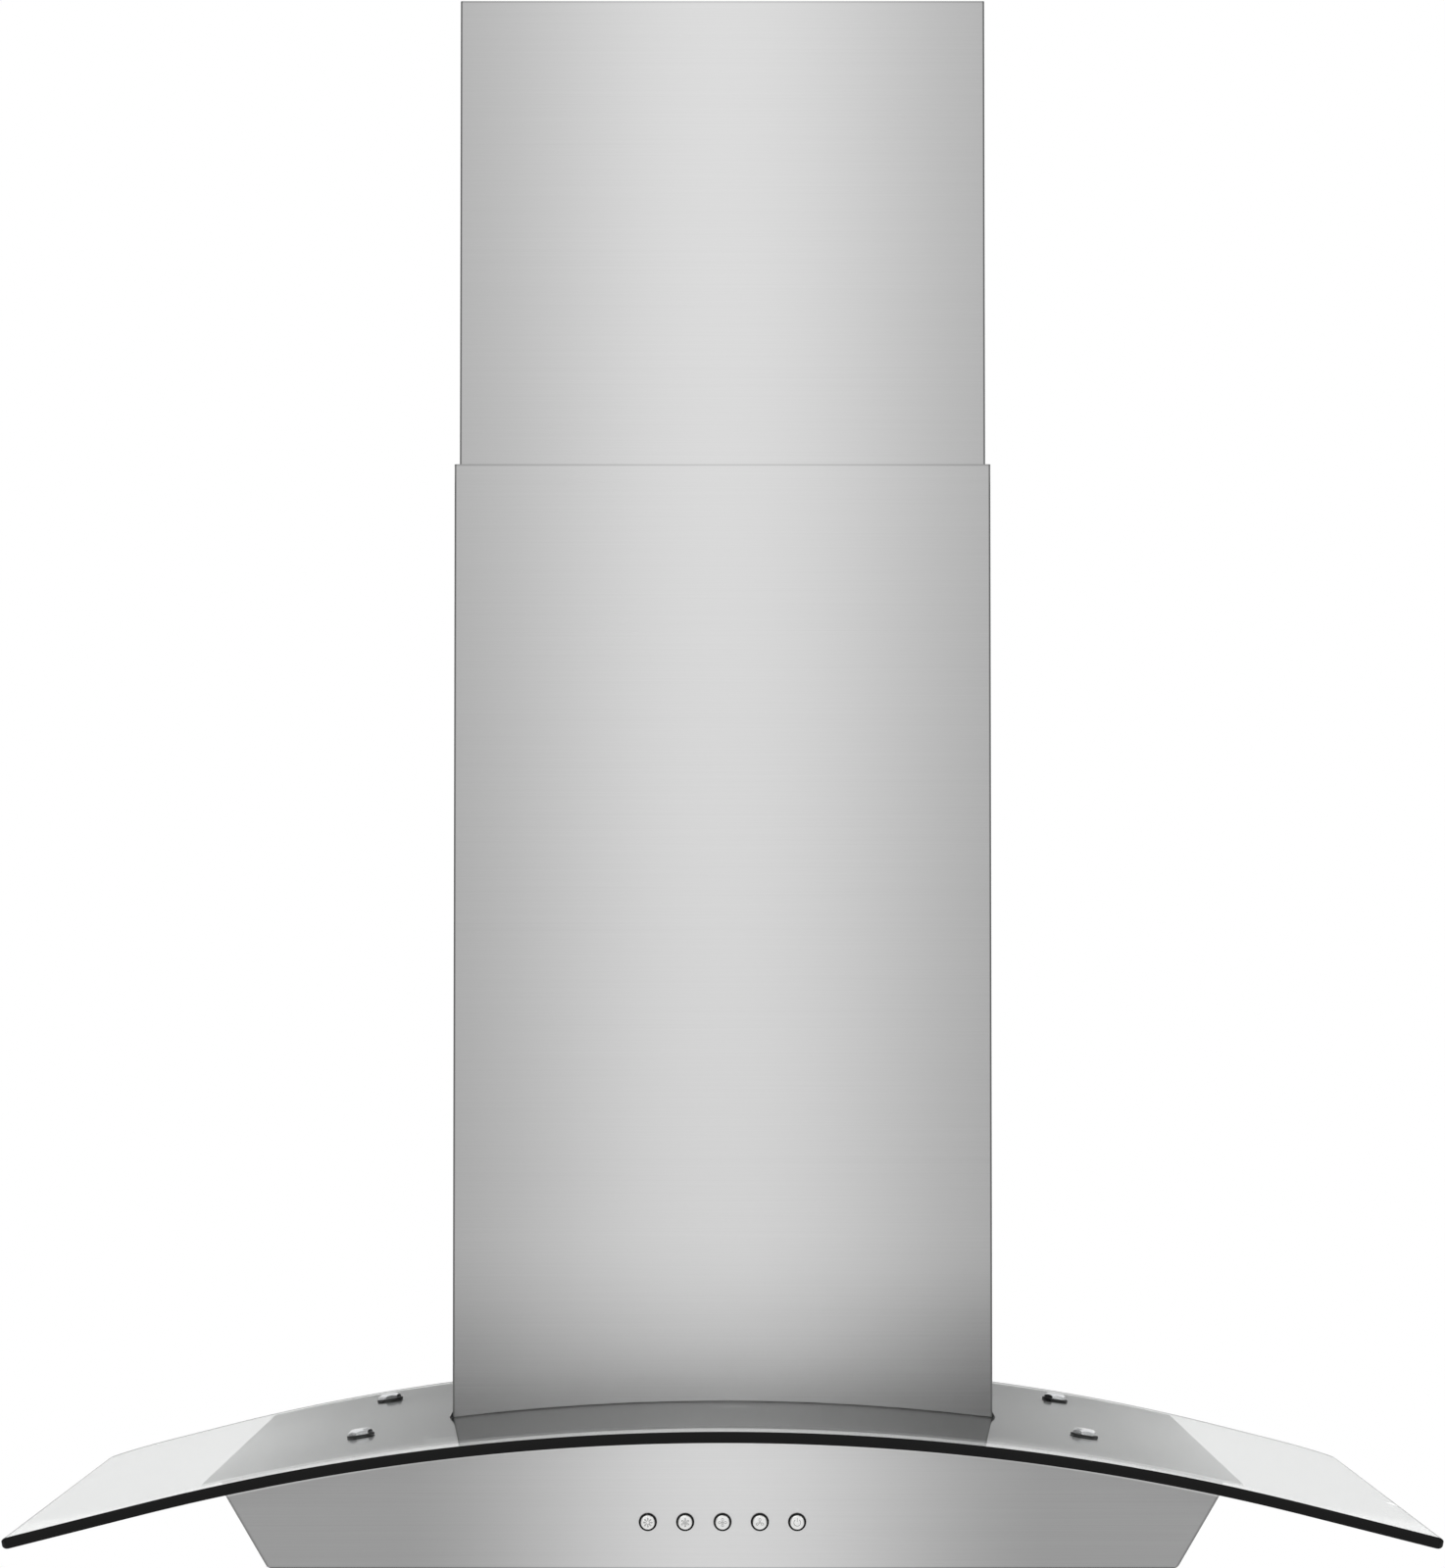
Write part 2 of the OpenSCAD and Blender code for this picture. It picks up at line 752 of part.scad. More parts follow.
module front_panel() {
    color(steel) {
        difference() {
            along_wall(panel_back, body_d) body_outline();
            at_buttons()
                rod_to_wall(panel_back - over, body_d + over, bezel_neck_d + 2 * seam_gap);
        }
        translate([-lip_half_w, -body_d, body_bottom_z])
            cube([2 * lip_half_w, sheet_t + lip_w, sheet_t]);
        at_housing_studs()
            rod_to_wall(panel_back - housing_stud_len, panel_back, housing_stud_d);
    }
}

module side_panel() {
    color(steel)
        difference() {
            intersection() {
                along_wall(side_near, side_far)
                    difference() {
                        body_tub(0);
                        body_tub(sheet_t);
                    }
                along_wall(0, body_d) below_plate();
                translate([half_bottom - lip_w, -body_d, body_bottom_z - over])
                    cube([body_h + lip_w, body_d, body_h + 2 * over]);
            }
            at_frame_screws()
                countersink(body_bottom_z, frame_screw_head_d + 2 * screw_gap, frame_screw_d + 2 * screw_gap);
        }
}

module right_side_panel() {
    side_panel();
}

module left_side_panel() {
    mirror([1, 0, 0]) side_panel();
}

module back_panel() {
    color(steel) {
        difference() {
            along_wall(0, sheet_t) body_outline();
            for (side = [-1, 1])
                translate([side * low_wall_hole_pitch / 2, 0, body_bottom_z + low_wall_hole_rise])
                    rod_to_wall(-over, sheet_t + over, low_wall_hole_d);
        }
        translate([-lip_half_w, -sheet_t - lip_w, body_bottom_z])
            cube([2 * lip_half_w, sheet_t + lip_w, sheet_t]);
    }
}

inlet_mid = box_back + box_d / 2;

module top_plate() {
    color(steel)
        difference() {
            along_wall(0, body_d) arch_profile(plate_r, sheet_t, plate_w / 2);
            translate([-inlet_w / 2, -inlet_mid - inlet_d / 2, arc_z])
                cube([inlet_w, inlet_d, glass_arc_r]);
            at_glass_bolts()
                translate([0, 0, plate_r - over])
                    cylinder(h = 2 * over, d = glass_bolt_d + 2 * screw_gap);
            at_box_screws()
                translate([0, 0, plate_r - over])
                    cylinder(h = 2 * over, d = box_screw_d + 2 * screw_gap);
        }
}

// Bottom frame with the two filter openings, the lamp holes and the hinge ears

frame_z = body_bottom_z + sheet_t;
frame_half_w = half_bottom - body_corner_r;
window_front = window_back + window_d;
pin_back = window_back + filter_back_gap + filter_pin_in;
pin_z = frame_z + filter_t / 2;
lamp_mid = (window_front + sheet_t + panel_back - lip_w) / 2;
ear_h = filter_t / 2 - sheet_t + ear_w / 2;
flange_h = filter_t - 2 * sheet_t;

module hinge_ear() {
    hole_d = filter_pin_d + 2 * run_gap;
    difference() {
        translate([0, -pin_back - ear_w / 2, frame_z + sheet_t - seam_gap])
            cube([ear_t, ear_w, ear_h + seam_gap]);
        translate([-over, -pin_back, pin_z])
            rotate([0, 90, 0])
                cylinder(h = ear_t + 2 * over, d = hole_d);
    }
}

module bottom_frame() {
    color(dark_steel) {
        difference() {
            translate([-frame_half_w, -side_far, frame_z])
                cube([2 * frame_half_w, side_far - side_near, sheet_t]);
            for (side = [0, 1])
                mirror([side, 0, 0]) {
                    translate([bar_w / 2, -window_front, frame_z - over])
                        cube([window_w, window_d, 2 * over]);
                    translate([lamp_x, -lamp_mid, frame_z - over])
                        cylinder(h = 2 * over, d = lamp_can_d + 2 * seam_gap);
                }
            at_frame_screws()
                translate([0, 0, frame_z - over])
                    cylinder(h = 2 * over, d = frame_screw_d + 2 * screw_gap);
        }
        for (side = [0, 1])
            mirror([side, 0, 0]) {
                translate([bar_w / 2 - ear_t, 0, 0]) hinge_ear();
                translate([bar_w / 2 + window_w, 0, 0]) hinge_ear();
                translate([bar_w / 2, -window_front - sheet_t, frame_z])
                    cube([window_w, sheet_t, sheet_t + flange_h]);
            }
    }
}

module frame_screws() {
    color(zinc)
        at_frame_screws() {
            countersink(body_bottom_z, frame_screw_head_d, frame_screw_d);
            translate([0, 0, body_bottom_z + sheet_t])
                cylinder(h = frame_screw_len - sheet_t, d = frame_screw_d);
        }
}

// Chimney

// Plan of a channel open along the wall, with flanges turned in at the wall
module channel_plan(w, near, far, t, return_w) {
    difference() {
        translate([-w / 2, -far])
            square([w, far - near]);
        translate([-w / 2 + t, -far + t])
            square([w - 2 * t, far - near - 2 * t]);
        translate([-w / 2 + return_w, -near - t - over])
            square([w - 2 * return_w, t + 2 * over]);
    }
}

upper_w = chimney_w - 4 * chimney_t - 2 * chimney_gap;
upper_near = 2 * chimney_t + chimney_gap;
upper_far = chimney_d - upper_near;
upper_bottom_z = chimney_top_z - upper_chimney_h;
side_foot_z = arch_height(glass_arc_r, chimney_w / 2);

module at_tab_screws() {
    for (side = [0, 1])
        mirror([side, 0, 0])
            translate([0, -tab_back, glass_top_z + tab_rise + tab_h / 2]) children();
}

// A rod along x from one distance off the middle to another
module rod_across(from, to, d) {
    translate([from, 0, 0])
        rotate([0, 90, 0])
            cylinder(h = to - from, d = d);
}

module lower_chimney() {
    hem_near = chimney_t;
    foot_z = side_foot_z - over;
    color(steel)
        difference() {
            union() {
                translate([0, 0, foot_z])
                    linear_extrude(chimney_joint_z - foot_z)
                        channel_plan(chimney_w, 0, chimney_d, chimney_t, chimney_return_w);
                translate([0, 0, chimney_joint_z - hem_h])
                    linear_extrude(hem_h)
                        channel_plan(chimney_w - chimney_t, chimney_t / 2, chimney_d - chimney_t / 2,
                                     3 * chimney_t / 2, chimney_return_w - chimney_t / 2);
            }
            along_wall(-over, chimney_d + over)
                translate([0, arc_z])
                    circle(r = glass_arc_r + seam_gap, $fn = arch_fn);
            at_tab_screws()
                rod_across(chimney_w / 2 - over, chimney_w / 2 + over, chimney_screw_d + 2 * screw_gap);
        }
}

module chimney_side_seals() {
    foot = chimney_w / 2 + seam_gap / 2;
    base_z = arch_height(glass_arc_r, foot) + seam_gap / 2;
    slope = asin(foot / glass_arc_r);
    color(black)
        for (side = [0, 1])
            mirror([side, 0, 0])
                along_wall(0, chimney_d)
                    polygon([
                        [foot, base_z],
                        [foot + seal_w, base_z - seal_w * tan(slope)],
                        [foot, base_z + seal_h]
                    ]);
}

module chimney_tabs() {
    inner = box_w / 2;
    outer = chimney_w / 2 - chimney_t;
    color(zinc)
        difference() {
            for (side = [0, 1])
                mirror([side, 0, 0])
                    translate([inner, -tab_back - tab_w / 2, glass_top_z + tab_rise]) {
                        cube([tab_t, tab_w, tab_h]);
                        cube([outer - inner, tab_w, tab_t]);
                        translate([outer - inner - tab_t, 0, 0])
                            cube([tab_t, tab_w, tab_h]);
                    }
            at_tab_screws()
                rod_across(outer - tab_t - over, outer + over, chimney_screw_d + 2 * screw_gap);
        }
}

module chimney_tab_screws() {
    face = chimney_w / 2;
    color(chrome)
        at_tab_screws() {
            rod_across(face, face + chimney_screw_head_h, chimney_screw_head_d);
            rod_across(face - chimney_screw_len, face, chimney_screw_d);
        }
}

bracket_screw_z = chimney_top_z - top_bracket_drop - top_bracket_h / 2;
arm_screw_back = top_bracket_arm / 2 + upper_near;

module at_bracket_screws() {
    for (side = [0, 1])
        mirror([side, 0, 0])
            translate([0, -arm_screw_back, bracket_screw_z]) children();
}

module upper_chimney() {
    color(steel)
        difference() {
            translate([0, 0, upper_bottom_z])
                linear_extrude(upper_chimney_h)
                    channel_plan(upper_w, upper_near, upper_far, chimney_t, chimney_return_w);
            at_bracket_screws()
                rod_across(upper_w / 2 - over, upper_w / 2 + over, chimney_screw_d + 2 * screw_gap);
        }
}

module chimney_bracket() {
    half_w = upper_w / 2 - chimney_t;
    flange_room = upper_near + chimney_t;
    strip_half_w = half_w - chimney_return_w;
    arm_near = flange_room + seam_gap;
    color(zinc)
        difference() {
            translate([0, 0, bracket_screw_z - top_bracket_h / 2]) {
                translate([-half_w, -top_bracket_t, 0])
                    cube([2 * half_w, top_bracket_t, top_bracket_h]);
                for (side = [0, 1])
                    mirror([side, 0, 0]) {
                        translate([strip_half_w - top_bracket_t, -arm_near - top_bracket_t, 0])
                            cube([top_bracket_t, arm_near + top_bracket_t, top_bracket_h]);
                        translate([strip_half_w - top_bracket_t, -arm_near - top_bracket_t, 0])
                            cube([half_w - strip_half_w + top_bracket_t, top_bracket_t, top_bracket_h]);
                        translate([half_w - top_bracket_t, -arm_near - top_bracket_arm, 0])
                            cube([top_bracket_t, top_bracket_arm, top_bracket_h]);
                    }
            }
            at_bracket_screws()
                rod_across(half_w - top_bracket_t - over, half_w + over, chimney_screw_d + 2 * screw_gap);
            for (side = [-1, 1])
                translate([side * top_bracket_hole_pitch / 2, 0, bracket_screw_z])
                    rod_to_wall(-over, top_bracket_t + over, top_bracket_hole_d);
        }
}

module chimney_bracket_screws() {
    face = upper_w / 2;
    color(chrome)
        at_bracket_screws() {
            rod_across(face, face + chimney_screw_head_h, chimney_screw_head_d);
            rod_across(face - chimney_screw_len, face, chimney_screw_d);
        }
}

// Hanging bracket: its two hooks reach through slots in the back of the blower box

hook_top_z = -hook_rise / 2;
lip_near = box_back + sheet_t + seam_gap;

module wall_bracket() {
    color(zinc)
        difference() {
            union() {
                translate([-bracket_w / 2, -bracket_t, -bracket_h / 2])
                    cube([bracket_w, bracket_t, bracket_h]);
                for (side = [-1, 1])
                    translate([(side * hook_pitch - hook_w) / 2, -lip_near - bracket_t,
                               hook_top_z - bracket_t]) {
                        cube([hook_w, lip_near + bracket_t, bracket_t]);
                        cube([hook_w, bracket_t, bracket_t + hook_rise]);
                    }
            }
            for (x = [-1, 1], z = [-1, 1])
                translate([x * bracket_hole_dx / 2, 0, z * bracket_hole_dz / 2])
                    rod_to_wall(-over, bracket_t + over, bracket_hole_d);
        }
}

// Blower box

collar_mid = fan_back + scroll_r / 2 + scroll_step;
collar_bore_d = collar_d - 2 * collar_wall;

module box_shell() {
    foot_r = plate_r + seam_gap;
    box_foot_z = glass_top_z - body_h;
    difference() {
        union() {
            translate([-box_w / 2, -box_back - box_d, box_foot_z])
                cube([box_w, box_d, box_top_z - box_foot_z]);
            along_wall(seam_gap, notch_d - notch_gap)
                arch_profile(foot_r + sheet_t, 2 * sheet_t, box_w / 2 + box_flange_w);
        }
        translate([-box_w / 2 + sheet_t, -box_back - box_d + sheet_t, box_foot_z - over])
            cube([box_w - 2 * sheet_t, box_d - 2 * sheet_t, box_top_z - box_foot_z - sheet_t + over]);
        along_wall(-over, glass_d)
            translate([0, arc_z])
                circle(r = foot_r, $fn = arch_fn);
    }
}

module blower_box() {
    slot_h = hook_rise + bracket_t + over;
    color(zinc)
        difference() {
            box_shell();
            for (side = [-1, 1])
                translate([side * hook_pitch / 2 - hook_w / 2 - seam_gap, -box_back - sheet_t - over,
                           hook_top_z - slot_h])
                    cube([hook_w + 2 * seam_gap, sheet_t + 2 * over, slot_h]);
            translate([0, -collar_mid, box_top_z - sheet_t - over])
                cylinder(h = sheet_t + 2 * over, d = collar_bore_d);
            at_box_screws()
                translate([0, 0, plate_r])
                    cylinder(h = over, d = box_screw_d + 2 * screw_gap);
            at_collar_screws()
                translate([0, 0, -sheet_t - over])
                    cylinder(h = sheet_t + 2 * over, d = collar_screw_d + 2 * screw_gap);
        }
}

module blower_box_screws() {
    head_base = plate_r + seam_gap + sheet_t + seam_gap / 2;
    color(chrome)
        at_box_screws()
            translate([0, 0, head_base]) {
                cylinder(h = box_screw_head_h, d = box_screw_head_d);
                translate([0, 0, -box_screw_len])
                    cylinder(h = box_screw_len, d = box_screw_d);
            }
}

// Blower: an impeller on the motor's shaft, in a scroll whose radius grows a step each quarter

module scroll_quarter(dy, dz, r, y_sign, z_sign) {
    translate([dy, dz])
        intersection() {
            circle(r = r, $fn = arch_fn);
            scale([y_sign, z_sign])
                square([r, r]);
        }
}

// Side view of the scroll in y and z about the shaft, moved in by inset, with its outlet upwards
module scroll_section(inset, outlet_h) {
    half = scroll_step / 2;
    mid_r = scroll_r + scroll_step;
    wide_r = mid_r + scroll_step;
    scroll_quarter(half, -half, scroll_r - inset, 1, 1);
    scroll_quarter(-half, -half, mid_r - inset, 1, -1);
    scroll_quarter(-half, half, wide_r - inset, -1, -1);
    translate([-half - wide_r + inset, -half])
        square([wide_r + scroll_step - 2 * inset, outlet_h + half]);
    translate([-half, -half])
        square([scroll_step, scroll_r - inset]);
}

// Turns a profile in y and z about the fan's shaft into a solid from x1 to x2
module across_fan(x1, x2) {
    translate([x1, -fan_back, fan_z])
        rotate([90, 0, 90])
            linear_extrude(x2 - x1) children();
}

module motor_feet() {
    for (i = [0:2])
        rotate([i * 120 + 90, 0, 0])
            translate([0, motor_bolt_circle_d / 2, 0]) children();
}

module blower_scroll() {
    half_w = scroll_w / 2;
    outlet_h = box_top_z - sheet_t - fan_z;
    color(black)
        difference() {
            across_fan(-half_w, half_w) scroll_section(0, outlet_h);
            across_fan(-half_w + scroll_wall, half_w - scroll_wall)
                scroll_section(scroll_wall, outlet_h + over);
            across_fan(-half_w - over, half_w + over)
                circle(d = scroll_inlet_d);
            translate([-half_w, -fan_back, fan_z])
                motor_feet()
                    rod_across(-over, over, motor_screw_d + 2 * screw_gap);
        }
}

module impeller() {
    half_w = impeller_w / 2;
    blade_mid_r = impeller_d / 2 - blade_len * cos(blade_slant) / 2 - blade_t;
    color(dark_steel) {
        for (x = [-half_w, half_w - ring_t])
            across_fan(x, x + ring_t)
                difference() {
                    circle(d = impeller_d);
                    circle(d = impeller_d - 2 * ring_w);
                }
        across_fan(0, disc_t)
            difference() {
                circle(d = impeller_d);
                circle(d = shaft_d + 2 * run_gap);
            }
        across_fan(disc_t, hub_len)
            difference() {
                circle(d = hub_d);
                circle(d = shaft_d + 2 * run_gap);
            }
        across_fan(-half_w, half_w)
            for (i = [0:blade_count - 1])
                rotate(i * 360 / blade_count)
                    translate([blade_mid_r, 0])
                        rotate(blade_slant)
                            square([blade_len, blade_t], center = true);
    }
}

motor_face_x = -scroll_w / 2 - motor_bracket_t;
motor_nose_x = motor_face_x + motor_len;
arm_x = motor_face_x - motor_bracket_t;

module motor() {
    color(dark_steel)
        difference() {
            union() {
                across_fan(motor_face_x, motor_nose_x - motor_bracket_t)
                    circle(d = motor_d);
                across_fan(motor_nose_x - motor_bracket_t, motor_nose_x)
                    circle(d = motor_d / 2);
            }
            across_fan(motor_nose_x - shaft_in_motor - run_gap, motor_nose_x + over)
                circle(d = shaft_d + 2 * run_gap);
        }
}

module motor_shaft() {
    color(chrome)
        across_fan(motor_nose_x - shaft_in_motor, hub_len)
            circle(d = shaft_d);
}

module motor_bracket() {
    color(zinc)
        difference() {
            translate([arm_x, -fan_back, fan_z]) {
                rod_across(0, motor_bracket_t, motor_plate_d);
                for (i = [0:2])
                    rotate([i * 120 + 90, 0, 0])
                        translate([0, 0, -motor_arm_w / 2])
                            cube([motor_bracket_t, motor_bolt_circle_d / 2, motor_arm_w]);
                motor_feet() {
                    rod_across(0, 2 * motor_bracket_t, motor_foot_d);
                    rod_across(0, motor_bracket_t, motor_arm_w);
                }
            }
            translate([arm_x, -fan_back, fan_z])
                motor_feet()
                    rod_across(-over, over, motor_screw_d + 2 * screw_gap);
        }
}

module motor_bracket_screws() {
    color(chrome)
        translate([arm_x, -fan_back, fan_z])
            motor_feet() {
                rod_across(-motor_screw_d / 2, 0, 2 * motor_screw_d);
                rod_across(0, 2 * motor_bracket_t + scroll_wall + motor_screw_d / 4, motor_screw_d);
            }
}

capacitor_x = box_w / 2 - sheet_t - clip_t - capacitor_d / 2 - seam_gap;

module capacitor() {
    color(white)
        translate([capacitor_x, -capacitor_back, fan_z - capacitor_len / 2]) {
            cylinder(h = capacitor_len, d = capacitor_d);
            translate([0, 0, capacitor_len])
                cylinder(h = clip_t, d = capacitor_d - 4 * clip_t);
        }
}

module capacitor_clip() {
    ring_d = capacitor_d + 2 * seam_gap;
    base_x = box_w / 2 - sheet_t - clip_t;
    color(zinc)
        difference() {
            union() {
                translate([capacitor_x, -capacitor_back, fan_z - clip_w / 2])
                    cylinder(h = clip_w, d = ring_d + 2 * clip_t);
                translate([base_x, -capacitor_back - capacitor_d, fan_z - clip_w / 2])
                    cube([clip_t, 2 * capacitor_d, clip_w]);
            }
            translate([capacitor_x, -capacitor_back, fan_z - clip_w])
                cylinder(h = 2 * clip_w, d = ring_d);
            translate([box_w / 2 - sheet_t, -capacitor_back - capacitor_d, fan_z - clip_w])
                cube([over, 2 * capacitor_d, 2 * clip_w]);
        }
}

// Duct collar with a two-leaf damper on one pin

pivot_z = box_top_z + collar_h / 2;
pin_half_len = (collar_d - collar_wall) / 2;
knuckle_d = damper_pin_d + 2 * run_gap + 2 * knuckle_wall;
flap_r = collar_bore_d / 2 - flap_gap;
flap_edge = knuckle_d / 2 + 2 * run_gap;

module at_collar_screws() {
    for (i = [0:3])
        translate([0, -collar_mid, box_top_z])
            rotate([0, 0, 45 + 90 * i])
                translate([collar_d / 2 + collar_flange_w / 2, 0, 0]) children();
}

module duct_collar() {
    ledge_top = pivot_z - flap_t / 2 - seam_gap;
    color(zinc)
        difference() {
            translate([0, -collar_mid, 0]) {
                translate([0, 0, box_top_z])
                    cylinder(h = collar_wall, d = collar_d + 2 * collar_flange_w);
                translate([0, 0, box_top_z])
                    cylinder(h = collar_h, d = collar_d);
            }
            difference() {
                translate([0, -collar_mid, box_top_z - over])
                    cylinder(h = collar_h + 2 * over, d = collar_bore_d);
                translate([0, -collar_mid, ledge_top - collar_wall])
                    difference() {
                        cylinder(h = collar_wall, d = collar_bore_d + collar_wall);
                        translate([0, 0, -over])
                            cylinder(h = collar_wall + 2 * over, d = collar_bore_d - 2 * ledge_w);
                    }
            }
            translate([0, -collar_mid, pivot_z])
                rod_across(-pin_half_len - run_gap, pin_half_len + run_gap, damper_pin_d + 2 * run_gap);
            at_collar_screws()
                translate([0, 0, -over])
                    cylinder(h = collar_wall + 2 * over, d = collar_screw_d + 2 * screw_gap);
        }
}

module collar_screws() {
    color(chrome)
        at_collar_screws() {
            translate([0, 0, collar_wall])
                cylinder(h = collar_screw_d / 2, d = 2 * collar_screw_d);
            translate([0, 0, -collar_screw_d])
                cylinder(h = collar_screw_d + collar_wall, d = collar_screw_d);
        }
}

// One leaf of the damper: half a disc towards -y, with two knuckles on the pin
module damper_flap(knuckle_starts) {
    difference() {
        union() {
            intersection() {
                translate([0, 0, -flap_t / 2])
                    cylinder(h = flap_t, r = flap_r);
                union() {
                    translate([-flap_r, -flap_r, -flap_t])
                        cube([2 * flap_r, flap_r - flap_edge, 2 * flap_t]);
                    for (x = knuckle_starts)
                        translate([x, -flap_r, -flap_t])
                            cube([knuckle_len, flap_r, 2 * flap_t]);
                }
            }
            for (x = knuckle_starts)
                rod_across(x, x + knuckle_len, knuckle_d);
        }
        rod_across(-flap_r - over, flap_r + over, damper_pin_d + 2 * run_gap);
    }
}

knuckle_room = 4 * seam_gap;
front_knuckles = [-2 * knuckle_len - 3 * knuckle_room, knuckle_room];
rear_knuckles = [-knuckle_len - knuckle_room, knuckle_len + 3 * knuckle_room];

module damper_flap_front() {
    color(dark_steel)
        translate([0, -collar_mid, pivot_z])
            damper_flap(front_knuckles);
}

module damper_flap_rear() {
    color(dark_steel)
        translate([0, -collar_mid, pivot_z])
            mirror([0, 1, 0])
                damper_flap(rear_knuckles);
}

module damper_pin() {
    color(chrome)
        translate([0, -collar_mid, pivot_z])
            rod_across(-pin_half_len, pin_half_len, damper_pin_d);
}

// Junction box, cable gland, lamp driver and the control lead

jbox_x = -box_w / 2 + jbox_wall;
jbox_near = box_back + jbox_wall;
gland_x = jbox_x + jbox_w / 2;
gland_back = jbox_near + jbox_d / 2;

module junction_box() {
    color(zinc)
        difference() {
            translate([jbox_x, -jbox_near - jbox_d, box_top_z])
                cube([jbox_w, jbox_d, jbox_h]);
            translate([jbox_x + jbox_wall, -jbox_near - jbox_d - over, box_top_z + jbox_wall])
                cube([jbox_w - 2 * jbox_wall, jbox_d + over - jbox_wall, jbox_h - 2 * jbox_wall]);
            translate([gland_x, -gland_back, box_top_z + jbox_h - jbox_wall - over])
                cylinder(h = jbox_wall + 2 * over, d = gland_thread_d + 2 * screw_gap);
        }
}

module junction_cover() {
    color(zinc) {
        translate([jbox_x, -jbox_near - jbox_d - jbox_wall, box_top_z])
            cube([jbox_w, jbox_wall, jbox_h]);
        translate([jbox_x + jbox_wall + seam_gap, -jbox_near - jbox_d, box_top_z + jbox_wall + seam_gap])
            cube([jbox_w - 2 * jbox_wall - 2 * seam_gap, 3 * jbox_wall, jbox_wall]);
    }
}

module cable_gland() {
    top_z = box_top_z + jbox_h;
    thread_len = jbox_wall + gland_hex_h;
    color(black)
        difference() {
            translate([gland_x, -gland_back, top_z]) {
                cylinder(h = gland_hex_h, d = gland_hex_w, $fn = hex_fn);
                translate([0, 0, gland_hex_h])
                    cylinder(h = gland_cap_h, d1 = (gland_hex_w + gland_thread_d) / 2, d2 = gland_thread_d);
                translate([0, 0, -thread_len])
                    cylinder(h = thread_len, d = gland_thread_d);
            }
            translate([gland_x, -gland_back, top_z - thread_len - over])
                cylinder(h = thread_len + gland_hex_h + gland_cap_h + 2 * over, d = gland_bore_d);
        }
}

module lamp_driver() {
    color(white) {
        translate([box_w / 2 - jbox_wall - driver_w, -jbox_near - driver_d, box_top_z])
            cube([driver_w, driver_d, driver_h]);
        translate([box_w / 2 - jbox_wall - driver_w, -jbox_near - driver_d - 3 * jbox_wall, box_top_z])
            cube([driver_w, 3 * jbox_wall, jbox_wall]);
    }
}

lead_run_z = arch_height(plate_under_r, lead_x + lead_d) - lead_d / 2 - seam_gap;
lead_start_z = button_z + housing_h / 2;
lead_start_back = panel_back - housing_d / 2;
lead_rise_back = inlet_mid + inlet_d / 2 - lead_bend_r - lead_d / 2;
connector_z = fan_z - connector_h / 2;

// A quarter turn of the lead in the plane of y and z, from pointing up to pointing at the wall
module lead_bend() {
    rotate([90, 0, 90])
        rotate_extrude(angle = 90, $fn = 4 * lead_fn)
            translate([lead_bend_r, 0])
                circle(d = lead_d, $fn = lead_fn);
}

module control_lead() {
    color(black)
        translate([lead_x, 0, 0]) {
            translate([0, -lead_start_back, lead_start_z])
                cylinder(h = lead_run_z - lead_bend_r - lead_start_z, d = lead_d, $fn = lead_fn);
            translate([0, -lead_start_back + lead_bend_r, lead_run_z - lead_bend_r])
                mirror([0, 1, 0])
                    lead_bend();
            translate([0, 0, lead_run_z])
                rod_to_wall(lead_rise_back + lead_bend_r, lead_start_back - lead_bend_r, lead_d, lead_fn);
            translate([0, -lead_rise_back - lead_bend_r, lead_run_z + lead_bend_r])
                mirror([0, 0, 1])
                    lead_bend();
            translate([0, -lead_rise_back, lead_run_z + lead_bend_r])
                cylinder(h = connector_z - lead_run_z - lead_bend_r, d = lead_d, $fn = lead_fn);
        }
}

module lead_connector() {
    far = box_back + box_d - sheet_t;
    color(white)
        translate([lead_x - connector_w / 2, -far, connector_z])
            cube([connector_w, far - lead_rise_back + lead_d, connector_h]);
}

// Push buttons

bezel_back = panel_back - bezel_tail;
stem_back = panel_back - housing_d + housing_wall + board_t + tact_h + button_travel + 2 * run_gap;

module push_button(place) {
    color(white)
        translate([place * button_pitch, 0, button_z]) {
            rod_to_wall(bezel_back - run_gap, body_d + button_proud, button_d);
            rod_to_wall(bezel_back - run_gap - button_flange_t, bezel_back - run_gap, bezel_neck_d);
            rod_to_wall(stem_back, bezel_back - run_gap - button_flange_t, button_stem_d);
        }
}

module button_light() {
    push_button(-2);
}

module button_speed_high() {
    push_button(-1);
}

module button_speed_medium() {
    push_button(0);
}

module button_speed_low() {
    push_button(1);
}

module button_power() {
    push_button(2);
}

module button_bezels() {
    color(black)
        at_buttons()
            difference() {
                union() {
                    rod_to_wall(body_d, body_d + bezel_proud, bezel_d);
                    rod_to_wall(bezel_back, body_d, bezel_neck_d);
                }
                rod_to_wall(bezel_back - over, body_d + over, button_d + 2 * run_gap);
            }
}

module switch_housing() {
    far = panel_back;
    near = panel_back - housing_d;
    color(black)
        difference() {
            union() {
                translate([-housing_w / 2, -far, button_z - housing_h / 2])
                    cube([housing_w, housing_d, housing_h]);
                translate([-(ear_span + housing_ear_w) / 2, -far, button_z - housing_h / 2])
                    cube([ear_span + housing_ear_w, housing_ear_t, housing_h]);
            }
            translate([-housing_w / 2 + housing_wall, -far - over, button_z - housing_h / 2 + housing_wall])
                cube([housing_w - 2 * housing_wall, housing_d - housing_wall + over,
                      housing_h - 2 * housing_wall]);
            at_housing_studs()
                rod_to_wall(near, far + over, housing_stud_d + 2 * screw_gap);
        }
}

